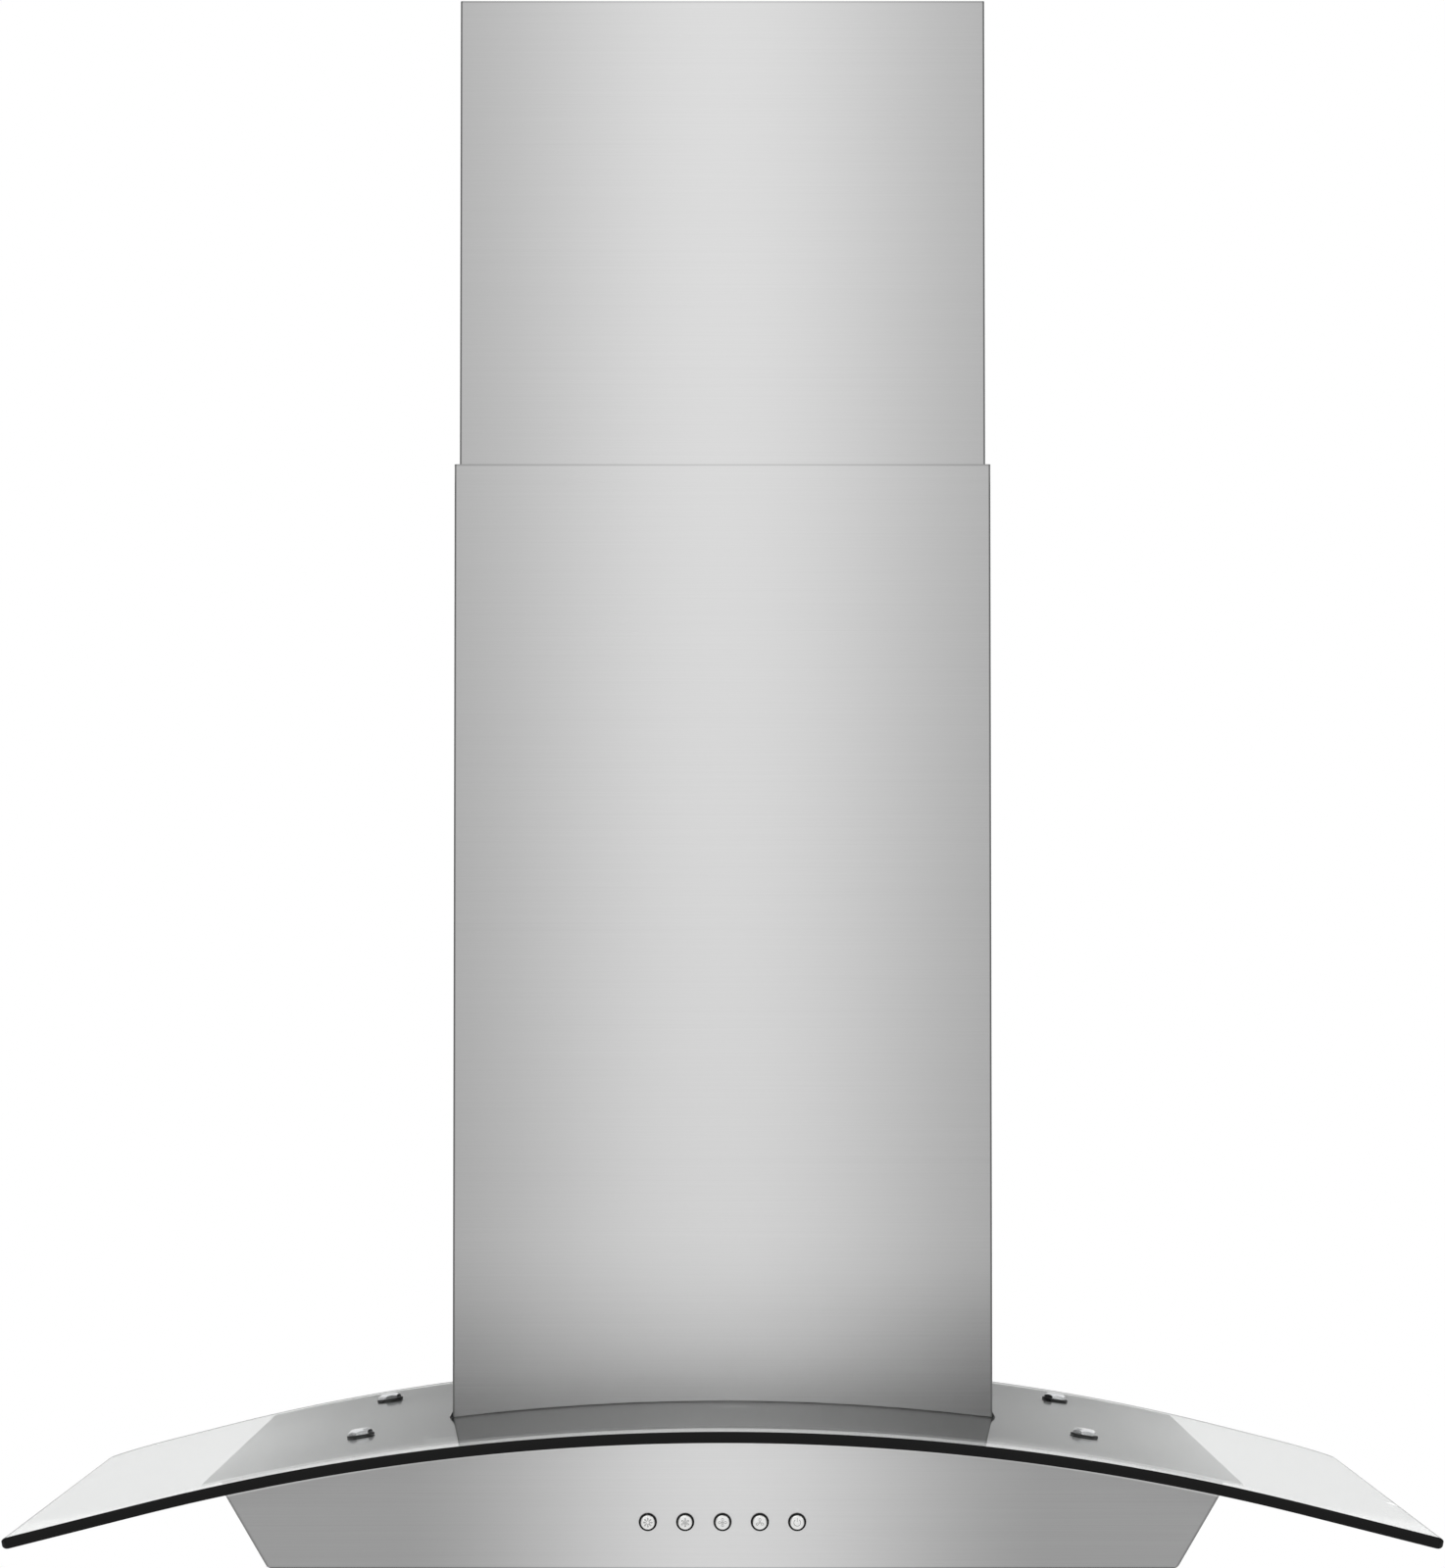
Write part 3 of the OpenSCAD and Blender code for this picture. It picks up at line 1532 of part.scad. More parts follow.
module housing_nuts() {
    color(zinc)
        at_housing_studs()
            translate([0, -panel_back + housing_ear_t + housing_nut_h, 0])
                rotate([90, 0, 0])
                    difference() {
                        cylinder(h = housing_nut_h, d = housing_nut_w, $fn = hex_fn);
                        translate([0, 0, -over])
                            cylinder(h = housing_nut_h + 2 * over, d = housing_stud_d + 2 * run_gap);
                    }
}

module switch_board() {
    near = panel_back - housing_d + housing_wall;
    board_w = housing_w - 2 * housing_wall - 2 * seam_gap;
    board_h = housing_h - 2 * housing_wall - 2 * seam_gap;
    color(board_green)
        translate([-board_w / 2, -near - board_t, button_z - board_h / 2])
            cube([board_w, board_t, board_h]);
    color(black)
        at_buttons()
            translate([-tact_w / 2, -near - board_t - tact_h, -tact_w / 2])
                cube([tact_w, tact_h, tact_w]);
}

// Lamps

module lamp() {
    color(chrome)
        translate([lamp_x, -lamp_mid, 0])
            difference() {
                union() {
                    translate([0, 0, body_bottom_z])
                        cylinder(h = sheet_t, d = lamp_ring_d);
                    translate([0, 0, body_bottom_z + sheet_t])
                        cylinder(h = lamp_can_h, d = lamp_can_d);
                }
                translate([0, 0, body_bottom_z - over])
                    cylinder(h = lamp_can_h - lamp_wall + sheet_t + over, d = lamp_can_d - 2 * lamp_wall);
            }
}

module lamp_lens() {
    color(white)
        translate([lamp_x, -lamp_mid, body_bottom_z])
            cylinder(h = lamp_lens_t, d = lamp_can_d - 2 * lamp_wall - 2 * seam_gap);
}

module right_lamp() {
    lamp();
}

module left_lamp() {
    mirror([1, 0, 0]) lamp();
}

module right_lamp_lens() {
    lamp_lens();
}

module left_lamp_lens() {
    mirror([1, 0, 0]) lamp_lens();
}

// Baffle filters, drawn for the right side

filter_x = bar_w / 2 + filter_side_gap;
filter_w = window_w - 2 * filter_side_gap;
filter_near = window_back + filter_back_gap;
filter_far = window_front - filter_front_gap;
filter_d = filter_far - filter_near;

module filter_frame() {
    pin_len = filter_side_gap + ear_t;
    color(dark_steel) {
        difference() {
            translate([filter_x, -filter_far, frame_z])
                cube([filter_w, filter_d, filter_t]);
            translate([filter_x + filter_wall, -filter_far + filter_wall, frame_z + filter_wall])
                cube([filter_w - 2 * filter_wall, filter_d - 2 * filter_wall, filter_t - 2 * filter_wall]);
            translate([filter_x + filter_lip, -filter_far + filter_lip, frame_z - over])
                cube([filter_w - 2 * filter_lip, filter_d - 2 * filter_lip, filter_t + 2 * over]);
        }
        translate([0, -pin_back, pin_z]) {
            rod_across(filter_x - pin_len, filter_x + filter_wall, filter_pin_d);
            rod_across(filter_x + filter_w - filter_wall, filter_x + filter_w + pin_len, filter_pin_d);
        }
        translate([filter_x + filter_w / 2, 0, 0])
            for (side = [-1, 1])
                translate([side * filter_w / 4 - filter_clip_w / 2, -filter_far - filter_clip_t,
                           frame_z + (filter_t - filter_clip_h) / 2])
                    cube([filter_clip_w, filter_clip_t, filter_clip_h]);
    }
}

// Section of one baffle: a shallow channel, open upwards
module baffle_section() {
    difference() {
        translate([-baffle_w / 2, 0])
            square([baffle_w, baffle_h]);
        translate([-baffle_w / 2 + baffle_t, baffle_t])
            square([baffle_w - 2 * baffle_t, baffle_h]);
    }
}

module filter_baffles() {
    near = filter_near + filter_wall + seam_gap;
    far = filter_far - filter_wall - seam_gap;
    low_z = frame_z + filter_wall;
    high_z = frame_z + filter_t - filter_wall;
    mid_x = filter_x + filter_w / 2;
    baffle_pitch = (filter_w - 2 * filter_wall - 2 * baffle_end_room - baffle_w) / (baffle_count - 1);
    rod_half_len = (baffle_count - 1) * baffle_pitch / 2;
    color(steel) {
        along_wall(near, far) {
            for (i = [0:baffle_count - 1])
                translate([mid_x + (i - (baffle_count - 1) / 2) * baffle_pitch, low_z])
                    baffle_section();
            for (i = [0:baffle_count - 2])
                translate([mid_x + (i - (baffle_count - 2) / 2) * baffle_pitch, high_z])
                    mirror([0, 1])
                        baffle_section();
        }
        for (back = [near + filter_lip * 2, far - filter_lip * 2])
            translate([mid_x, -back, pin_z])
                rod_across(-rod_half_len, rod_half_len, tie_rod_d);
    }
}

module filter_handle() {
    depth = filter_lip - filter_wall;
    color(chrome)
        translate([filter_x + filter_w / 2, 0, frame_z])
            along_wall(filter_far - depth - filter_wall, filter_far - filter_wall)
                difference() {
                    union() {
                        translate([-handle_w / 2 - handle_foot, -handle_t])
                            square([handle_w + 2 * handle_foot, handle_t]);
                        translate([-handle_w / 2, -handle_drop])
                            square([handle_w, handle_drop]);
                    }
                    translate([-handle_w / 2 + handle_t, -handle_drop + handle_t])
                        square([handle_w - 2 * handle_t, handle_drop]);
                }
}

module right_filter_frame() {
    filter_frame();
}

module left_filter_frame() {
    mirror([1, 0, 0]) filter_frame();
}

module right_filter_baffles() {
    filter_baffles();
}

module left_filter_baffles() {
    mirror([1, 0, 0]) filter_baffles();
}

module right_filter_handle() {
    filter_handle();
}

module left_filter_handle() {
    mirror([1, 0, 0]) filter_handle();
}

front_panel();
left_side_panel();
right_side_panel();
back_panel();
top_plate();
bottom_frame();
frame_screws();
glass_canopy();
glass_bolts();
glass_washers_upper();
glass_washers_lower();
glass_nuts();
lower_chimney();
chimney_side_seals();
chimney_tabs();
chimney_tab_screws();
upper_chimney();
chimney_bracket();
chimney_bracket_screws();
wall_bracket();
blower_box();
blower_box_screws();
blower_scroll();
impeller();
motor();
motor_shaft();
motor_bracket();
motor_bracket_screws();
capacitor();
capacitor_clip();
duct_collar();
collar_screws();
damper_flap_front();
damper_flap_rear();
damper_pin();
junction_box();
junction_cover();
cable_gland();
lamp_driver();
control_lead();
lead_connector();
button_bezels();
button_light();
button_speed_high();
button_speed_medium();
button_speed_low();
button_power();
switch_housing();
switch_board();
housing_nuts();
left_lamp();
left_lamp_lens();
right_lamp();
right_lamp_lens();
left_filter_frame();
left_filter_baffles();
left_filter_handle();
right_filter_frame();
right_filter_baffles();
right_filter_handle();
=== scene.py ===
"""Looks of the curved glass range hood: materials, the glass, the buttons' signs, light and camera.

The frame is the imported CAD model, in metres: the wall is y = 0 and the hood stands towards -y.
"""

import math

import bmesh
import bpy
import numpy as np
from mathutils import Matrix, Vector


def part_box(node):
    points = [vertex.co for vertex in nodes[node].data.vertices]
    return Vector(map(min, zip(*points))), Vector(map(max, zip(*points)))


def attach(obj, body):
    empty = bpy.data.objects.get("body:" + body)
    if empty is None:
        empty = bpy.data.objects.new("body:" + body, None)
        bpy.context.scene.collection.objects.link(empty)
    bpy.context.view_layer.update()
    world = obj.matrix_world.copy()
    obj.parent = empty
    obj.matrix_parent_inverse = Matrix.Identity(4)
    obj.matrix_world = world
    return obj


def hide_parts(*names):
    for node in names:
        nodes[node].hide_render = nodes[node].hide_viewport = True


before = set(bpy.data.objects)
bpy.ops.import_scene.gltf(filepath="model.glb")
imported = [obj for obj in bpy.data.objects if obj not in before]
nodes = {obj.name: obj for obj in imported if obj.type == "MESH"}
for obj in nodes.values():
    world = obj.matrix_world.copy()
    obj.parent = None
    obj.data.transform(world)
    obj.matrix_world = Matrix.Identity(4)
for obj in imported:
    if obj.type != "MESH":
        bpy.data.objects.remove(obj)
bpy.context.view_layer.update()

# Sizes of the CAD model that the frame's boxes don't give, in metres, and the body's lean in degrees
GLASS_ARC_R = 1.264
GLASS_T = 0.006
ARC_HALF_W = 0.308
BACK_CORNER_R = 0.040
FRONT_CORNER_R = 0.004
NOTCH_HALF_W = 0.146
NOTCH_D = 0.282
BOLT_X = 0.201
BOLT_BACK = 0.083
BOLT_PITCH = 0.253
HOLE_D = 0.008
PLATE_GAP = 0.0006
BODY_HALF_W = 0.2435
BODY_LEAN = 30.5
SHEET_T = 0.001
BUTTON_D = 0.0075
BUTTON_PITCH = 0.020
BUTTON_FLANGE_D = 0.0088
BUTTON_STEM_D = 0.003
BEZEL_BACK_Y = -0.448

glass_low, glass_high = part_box("glass_canopy")
GLASS_TOP_Z = glass_high.z
GLASS_D = -glass_low.y
ARC_Z = GLASS_TOP_Z - GLASS_ARC_R
PLATE_R = GLASS_ARC_R - GLASS_T - PLATE_GAP

# How near an edge is to its box's side to lie on it, and how near two points are to be one
SAME_PLACE = 0.0001
SAME_POINT = 0.00001


# Node graphs

# Blender's noise hardly leaves this range
NOISE_RANGE = (0.28, 0.72)


def new_material(name):
    """A material, its node tree and its main shader."""
    material = bpy.data.materials.new(name)
    material.use_nodes = True
    tree = material.node_tree
    return material, tree, tree.nodes["Principled BSDF"]


def plug(tree, socket, value):
    """Links the socket to another one, or sets its value."""
    if isinstance(value, bpy.types.NodeSocket):
        tree.links.new(value, socket)
    else:
        socket.default_value = value


def node(tree, kind, inputs=None, **settings):
    """One node, with its settings, and its inputs linked to sockets or set to values."""
    made = tree.nodes.new("ShaderNode" + kind)
    for key, value in settings.items():
        setattr(made, key, value)
    for key, value in (inputs or {}).items():
        plug(tree, made.inputs[key], value)
    return made


def math_node(tree, operation, first, second=0.0):
    return node(tree, "Math", {0: first, 1: second}, operation=operation).outputs[0]


def total(tree, *values):
    result = values[0]
    for value in values[1:]:
        result = math_node(tree, "ADD", result, value)
    return result


def weighted(tree, first, share, second):
    """A share of the first value and the rest of the second."""
    first_part = math_node(tree, "MULTIPLY", first, share)
    second_part = math_node(tree, "MULTIPLY", second, 1 - share)
    return math_node(tree, "ADD", first_part, second_part)


def fit(tree, value, low, high, to_low=0.0, to_high=1.0, smooth=False):
    """Maps value from low..high to to_low..to_high, and stops at both ends."""
    kind = "SMOOTHSTEP" if smooth else "LINEAR"
    inputs = {"Value": value, "From Min": low, "From Max": high, "To Min": to_low, "To Max": to_high}
    return node(tree, "MapRange", inputs, interpolation_type=kind).outputs["Result"]


def spread(tree, value, low, high):
    """Maps value from 0..1 to low..high."""
    return fit(tree, value, 0.0, 1.0, low, high)


def grey(value):
    return (value, value, value, 1.0)


def rgba(colour, share=1.0):
    """The colour, or a share of its brightness, with alpha."""
    return tuple(share * part for part in colour) + (1.0,)


def blend(tree, factor, first, second):
    """Mixes two colours."""
    inputs = {"Factor": factor, 6: first, 7: second}
    return node(tree, "Mix", inputs, data_type="RGBA").outputs[2]


def mix_shaders(tree, factor, first, second):
    """Goes from the first shader to the second as the factor goes from 0 to 1."""
    return node(tree, "MixShader", {"Fac": factor, 1: first, 2: second}).outputs[0]


def place(tree):
    """Object coordinates, in metres, and their x, y and z."""
    coordinates = node(tree, "TexCoord").outputs["Object"]
    parts = node(tree, "SeparateXYZ", {"Vector": coordinates})
    return coordinates, parts.outputs["X"], parts.outputs["Y"], parts.outputs["Z"]


def from_arch_axis(tree, x, z):
    """Distance from the axis of the glass's arch."""
    across = node(tree, "CombineXYZ", {"X": x, "Z": math_node(tree, "SUBTRACT", z, ARC_Z)})
    return node(tree, "VectorMath", {0: across.outputs[0]}, operation="LENGTH").outputs["Value"]


def noise(tree, coordinates, scale, detail=3.0, rough=0.55):
    """Noise of 0 to 1. The scale, per metre, is one number or one each along x, y and z."""
    if isinstance(scale, float):
        scale = (scale, scale, scale)
    mapping = node(tree, "Mapping", {"Vector": coordinates, "Scale": scale})
    inputs = {"Vector": mapping.outputs[0], "Scale": 1.0, "Detail": detail, "Roughness": rough}
    raw = node(tree, "TexNoise", inputs).outputs["Fac"]
    return fit(tree, raw, *NOISE_RANGE)


def bump(tree, height, distance):
    inputs = {"Height": height, "Distance": distance, "Strength": 1.0}
    return node(tree, "Bump", inputs).outputs["Normal"]


def dress(tree, shader, colour, roughness, normal=None):
    """Gives the shader what varies over a surface."""
    plug(tree, shader.inputs["Base Color"], colour)
    plug(tree, shader.inputs["Roughness"], roughness)
    if normal is not None:
        plug(tree, shader.inputs["Normal"], normal)


def set_surface(tree, shader):
    """Puts this shader on the surface, in place of the main one."""
    plug(tree, tree.nodes["Material Output"].inputs["Surface"], shader)


# Metals

# How far the fine streaks, the wider bands and the smudges of brushed steel move its tone, each way
STREAK_TONE = 0.032
BAND_TONE = 0.006
SMUDGE_TONE = 0.014
BAND_SCALE = 0.18


def brushed_steel(name, dark, light, grain, shade=None, roughness=(0.26, 0.40), depth=0.00001, edge=1.0):
    """Brushed sheet. grain is the noise's scale along x, y and z, least along the brushing.
    shade paints large areas of light and shade into the colour, 0 to 1, from x, y and z, and edge is the
    share of the light that a grazing look finds."""
    material, tree, shader = new_material(name)
    coordinates, x, y, z = place(tree)
    fine = noise(tree, coordinates, grain, 4.0, 0.7)
    bands = noise(tree, coordinates, tuple(BAND_SCALE * scale for scale in grain), 2.0)
    smudge = noise(tree, coordinates, 9.0)
    # With a shade, the tone is painted light and shade; without one, it is the steel's random tone
    tone = shade(tree, x, y, z) if shade else spread(tree, smudge, 0.35, 0.65)
    streaks = total(
        tree,
        spread(tree, fine, -STREAK_TONE, STREAK_TONE),
        spread(tree, bands, -BAND_TONE, BAND_TONE),
        spread(tree, smudge, -SMUDGE_TONE, SMUDGE_TONE),
    )
    colour = blend(tree, math_node(tree, "ADD", tone, streaks), grey(dark), grey(light))
    worn = weighted(tree, fine, 0.6, smudge)
    dress(tree, shader, colour, spread(tree, worn, *roughness), bump(tree, fine, depth))
    shader.inputs["Metallic"].default_value = 1.0
    shader.inputs["Anisotropic"].default_value = 0.5
    shader.inputs["Specular Tint"].default_value = grey(edge)
    return material


def galvanised(name, dark=0.40, light=0.60):
    """Zinc-coated sheet with its spangle of flat crystals."""
    material, tree, shader = new_material(name)
    coordinates = place(tree)[0]
    cells = node(tree, "TexVoronoi", {"Vector": coordinates, "Scale": 95.0}, feature="F1")
    spangle = node(tree, "SeparateColor", {"Color": cells.outputs["Color"]}).outputs[0]
    smudge = noise(tree, coordinates, 14.0)
    fine = noise(tree, coordinates, 700.0)
    tone = total(
        tree,
        spread(tree, spangle, 0.15, 0.55),
        spread(tree, smudge, 0.0, 0.3),
        spread(tree, fine, 0.0, 0.12),
    )
    bluish = (dark, dark * 1.01, dark * 1.03, 1.0)
    colour = blend(tree, tone, bluish, grey(light))
    dress(tree, shader, colour, spread(tree, spangle, 0.34, 0.52), bump(tree, fine, 0.00002))
    shader.inputs["Metallic"].default_value = 1.0
    return material


def bright_metal(name, colour, roughness=(0.06, 0.16), scratch=(900.0, 900.0, 60.0)):
    """Plated or ground metal: chrome, zinc plating, a shaft. scratch is the noise's scale along x, y
    and z."""
    material, tree, shader = new_material(name)
    coordinates = place(tree)[0]
    fine = noise(tree, coordinates, scratch)
    smudge = noise(tree, coordinates, 60.0)
    mixed = weighted(tree, fine, 0.5, smudge)
    varied = blend(tree, mixed, rgba(colour, 0.82), rgba(colour))
    dress(tree, shader, varied, spread(tree, mixed, *roughness), bump(tree, fine, 0.000008))
    shader.inputs["Metallic"].default_value = 1.0
    return material


# Plastics, rubber, board


def moulded(name, colour, roughness=(0.38, 0.55), texture=(1400.0, 0.00003), specular=0.5):
    """Moulded plastic, rubber or paint with slight mottling and a fine texture, given by its noise's
    scale and its depth."""
    material, tree, shader = new_material(name)
    coordinates = place(tree)[0]
    scale, depth = texture
    fine = noise(tree, coordinates, scale, 2.0)
    mottle = noise(tree, coordinates, 40.0)
    mixed = weighted(tree, fine, 0.5, mottle)
    varied = blend(tree, mottle, rgba(colour, 0.86), rgba(colour))
    dress(tree, shader, varied, spread(tree, mixed, *roughness), bump(tree, fine, depth))
    shader.inputs["Specular IOR Level"].default_value = specular
    return material


def circuit_board(name):
    """Green solder mask with paler tracks under it."""
    material, tree, shader = new_material(name)
    coordinates = place(tree)[0]
    inputs = {"Vector": coordinates, "Scale": 420.0}
    cells = node(tree, "TexVoronoi", inputs, feature="DISTANCE_TO_EDGE", distance="EUCLIDEAN")
    mask = fit(tree, cells.outputs["Distance"], 0.05, 0.12)
    fine = noise(tree, coordinates, 600.0)
    colour = blend(tree, mask, (0.05, 0.20, 0.09, 1.0), (0.015, 0.09, 0.035, 1.0))
    dress(tree, shader, colour, spread(tree, fine, 0.22, 0.34), bump(tree, mask, 0.00003))
    return material


# Glass

CLEAR_IOR = 1.5
FROSTED_IOR = 1.46
UNMIRRORED_SHARE = 0.6


def clear_glass(name):
    """Clear tempered glass with a coating that mirrors less than bare glass. Shadow and diffuse rays
    pass straight through, so that it casts a pale shadow."""
    material, tree, shader = new_material(name)
    coordinates = place(tree)[0]
    smudge = noise(tree, coordinates, 11.0)
    tint = blend(tree, smudge, (0.82, 0.83, 0.825, 1.0), (0.85, 0.86, 0.855, 1.0))
    dress(tree, shader, tint, fit(tree, smudge, 0.55, 1.0, 0.0, 0.004))
    shader.inputs["Transmission Weight"].default_value = 1.0
    shader.inputs["IOR"].default_value = CLEAR_IOR
    inputs = {"Color": (0.92, 0.926, 0.923, 1.0), "Roughness": 0.0, "IOR": CLEAR_IOR}
    unmirrored = node(tree, "BsdfRefraction", inputs).outputs[0]
    coated = mix_shaders(tree, UNMIRRORED_SHARE, shader.outputs[0], unmirrored)
    path = node(tree, "LightPath").outputs
    passing = math_node(tree, "MAXIMUM", path["Is Shadow Ray"], path["Is Diffuse Ray"])
    clear = node(tree, "BsdfTransparent", {"Color": (0.86, 0.875, 0.87, 1.0)}).outputs[0]
    set_surface(tree, mix_shaders(tree, passing, coated, clear))
    return material


def frosted_glass(name):
    """The lamps' lenses: mostly a pale, rough surface, and a third of the light passes."""
    material, tree, shader = new_material(name)
    coordinates = place(tree)[0]
    fine = noise(tree, coordinates, 1500.0, 2.0)
    colour = blend(tree, fine, (0.80, 0.81, 0.80, 1.0), (0.90, 0.90, 0.88, 1.0))
    dress(tree, shader, colour, spread(tree, fine, 0.35, 0.5), bump(tree, fine, 0.00004))
    shader.inputs["Transmission Weight"].default_value = 0.35
    shader.inputs["IOR"].default_value = FROSTED_IOR
    return material


# Painted light and shade: the large light and dark areas of the visible steel, painted into its colour.
# Places are in metres. Tones are 0 for the steel's dark colour and 1 for its light one.

# How high the painted reflection at the chimney's foot reaches, and how far painted shade and painted
# highlights move the tone
PAINTED_FOOT_REFLECTION_H = 0.095
CHIMNEY_PAINTED_FOLD_SHADE = 0.5
CHIMNEY_PAINTED_RIM_SHADE = 0.25
PANEL_PAINTED_FOLD_HIGHLIGHT = 0.8
PANEL_PAINTED_SIDE_SHADE = 0.22
PANEL_PAINTED_BOTTOM_SHADE = 0.32


def chimney_painted_light(box):
    """Painted light and shade: lighter in the middle of each face and higher up, and darker at the foot
    with a painted reflection of the glass and the body, most of all to the right. Painted shade runs in
    dark lines along the two front folds and the upper rim."""
    half_width, front, top = box[1].x, box[0].y, box[1].z

    def shade(tree, x, y, z):
        across = math_node(tree, "ABSOLUTE", x)
        # Painted light higher up, and painted shade towards the sides of each face
        upright = fit(tree, z, -0.05, 0.45, 0.83, 0.92)
        painted_shade_aside = fit(tree, across, 0.0, 1.3 * half_width, 0.0, 0.50, smooth=True)
        # Painted reflection of the glass and the body: darker at the foot, most of all to the right
        painted_foot_reflection_depth = fit(tree, x, 0.03, 0.14, 0.22, 0.315)
        foot = fit(tree, z, GLASS_TOP_Z, GLASS_TOP_Z + PAINTED_FOOT_REFLECTION_H, painted_foot_reflection_depth, 0.0, smooth=True)
        # Painted shade in a dark line along each front fold
        side_in, side_out = half_width - 0.0013, half_width - 0.0008
        painted_fold_shade_across = fit(tree, across, side_in, side_out, 0.0, CHIMNEY_PAINTED_FOLD_SHADE)
        on_front = fit(tree, y, front + 0.0010, front + 0.0013, 1.0, 0.0)
        fold = math_node(tree, "MULTIPLY", painted_fold_shade_across, on_front)
        # Painted shade in a dark line along the upper rim
        rim = fit(tree, z, top - 0.0012, top - 0.0006, 0.0, CHIMNEY_PAINTED_RIM_SHADE)
        return math_node(tree, "SUBTRACT", upright, total(tree, painted_shade_aside, foot, fold, rim))

    return shade


def panel_painted_light(reach):
    """Painted light and shade: a light middle that reaches so far to each side, on a darker face, a
    painted highlight on the fold along the top, and painted shade in a dark line along the slanted sides
    and the bottom."""
    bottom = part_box("front_panel")[0].z
    side_slope = math.tan(math.radians(BODY_LEAN))

    def shade(tree, x, y, z):
        across = math_node(tree, "ABSOLUTE", x)
        # Painted light: a light middle on a darker face
        face = fit(tree, across, 0.0, reach, 0.94, 0.30, smooth=True)
        radius = from_arch_axis(tree, x, z)
        # Painted highlight on the fold along the top
        painted_fold_highlight = fit(tree, radius, PLATE_R - 0.0042, PLATE_R - 0.0022, 0.0, PANEL_PAINTED_FOLD_HIGHLIGHT)
        # Painted shade in dark lines along the slanted sides and the bottom
        rise = math_node(tree, "SUBTRACT", z, bottom)
        lean = math_node(tree, "MULTIPLY", rise, side_slope)
        past_side = math_node(tree, "SUBTRACT", math_node(tree, "SUBTRACT", across, lean), BODY_HALF_W)
        painted_side_shade = fit(tree, past_side, -0.0016, -0.0006, 0.0, PANEL_PAINTED_SIDE_SHADE)
        painted_bottom_shade = fit(tree, rise, 0.0006, 0.0010, PANEL_PAINTED_BOTTOM_SHADE, 0.0)
        line = math_node(tree, "MAXIMUM", painted_side_shade, painted_bottom_shade)
        return math_node(tree, "SUBTRACT", math_node(tree, "ADD", face, painted_fold_highlight), line)

    return shade


def plate_painted_light(near, far):
    """Painted shade and reflection: dark in the middle, in front of the chimney, lighter from near to far
    to each side, and lightest at the ends."""

    def shade(tree, x, y, z):
        across = math_node(tree, "ABSOLUTE", x)
        # Painted shade in the middle, in front of the chimney, and painted reflection lighter to each side
        # and at the ends
        painted_light_across = fit(tree, across, near, 0.85 * far, 0.05, 0.58)
        ends = fit(tree, across, 0.82 * far, far, 0.0, 0.42)
        return math_node(tree, "ADD", painted_light_across, ends)

    return shade


# Each material's name, with what its maker is called with

HORIZONTAL = (6.0, 6.0, 2400.0)
LENGTHWISE = (2400.0, 6.0, 2400.0)
CROSSWISE = (6.0, 2400.0, 2400.0)

STEELS = {
    "chimney steel": {
        "dark": 0.20,
        "light": 0.80,
        "grain": HORIZONTAL,
        "shade": chimney_painted_light(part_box("lower_chimney")),
    },
    "upper chimney steel": {
        "dark": 0.20,
        "light": 0.80,
        "grain": HORIZONTAL,
        "shade": chimney_painted_light(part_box("upper_chimney")),
    },
    "panel steel": {"dark": 0.184, "light": 0.743, "grain": HORIZONTAL, "shade": panel_painted_light(0.18)},
    "side steel": {"dark": 0.36, "light": 0.62, "grain": HORIZONTAL},
    "plate steel": {
        "dark": 0.08,
        "light": 0.90,
        "grain": CROSSWISE,
        "shade": plate_painted_light(0.06, 0.28),
        "depth": 0.000002,
        "edge": 0.5,
    },
    "frame steel": {"dark": 0.38, "light": 0.64, "grain": CROSSWISE},
    "filter steel": {"dark": 0.42, "light": 0.70, "grain": LENGTHWISE, "roughness": (0.22, 0.36)},
    "aluminium": {"dark": 0.48, "light": 0.66, "grain": CROSSWISE},
}
SHEETS = {
    "galvanised": {},
    "duct galvanised": {"dark": 0.36, "light": 0.56},
}
BRIGHT = {
    "chrome": {"colour": (0.80, 0.81, 0.82)},
    "zinc": {"colour": (0.60, 0.61, 0.63), "roughness": (0.20, 0.34)},
    "ground steel": {
        "colour": (0.66, 0.67, 0.68),
        "roughness": (0.12, 0.22),
        "scratch": (60.0, 900.0, 900.0),
    },
    "button silver": {
        "colour": (0.90, 0.90, 0.89),
        "roughness": (0.24, 0.36),
        "scratch": (1500.0, 1500.0, 300.0),
    },
}
MOULDED = {
    "cast": {
        "colour": (0.13, 0.135, 0.14),
        "roughness": (0.45, 0.62),
        "texture": (350.0, 0.0002),
        "specular": 0.6,
    },
    "rubber": {"colour": (0.020, 0.020, 0.020), "roughness": (0.55, 0.75)},
    "black plastic": {"colour": (0.022, 0.022, 0.023)},
    "gloss black": {
        "colour": (0.004, 0.004, 0.004),
        "roughness": (0.30, 0.42),
        "texture": (900.0, 0.000005),
        "specular": 0.2,
    },
    "black enamel": {
        "colour": (0.007, 0.007, 0.007),
        "roughness": (0.30, 0.42),
        "texture": (700.0, 0.000006),
        "specular": 0.10,
    },
    "ground edge": {
        "colour": (0.25, 0.28, 0.265),
        "roughness": (0.45, 0.60),
        "texture": (1800.0, 0.00001),
        "specular": 0.4,
    },
    "grey plastic": {"colour": (0.075, 0.077, 0.080)},
    "white plastic": {"colour": (0.74, 0.74, 0.71)},
    "sign grey": {"colour": (0.12, 0.12, 0.12)},
}
MAKERS = [
    (brushed_steel, STEELS),
    (galvanised, SHEETS),
    (bright_metal, BRIGHT),
    (moulded, MOULDED),
    (circuit_board, {"board": {}}),
    (frosted_glass, {"lens": {}}),
    (clear_glass, {"glass": {}}),
]
materials = {name: make(name, **look) for make, looks in MAKERS for name, look in looks.items()}

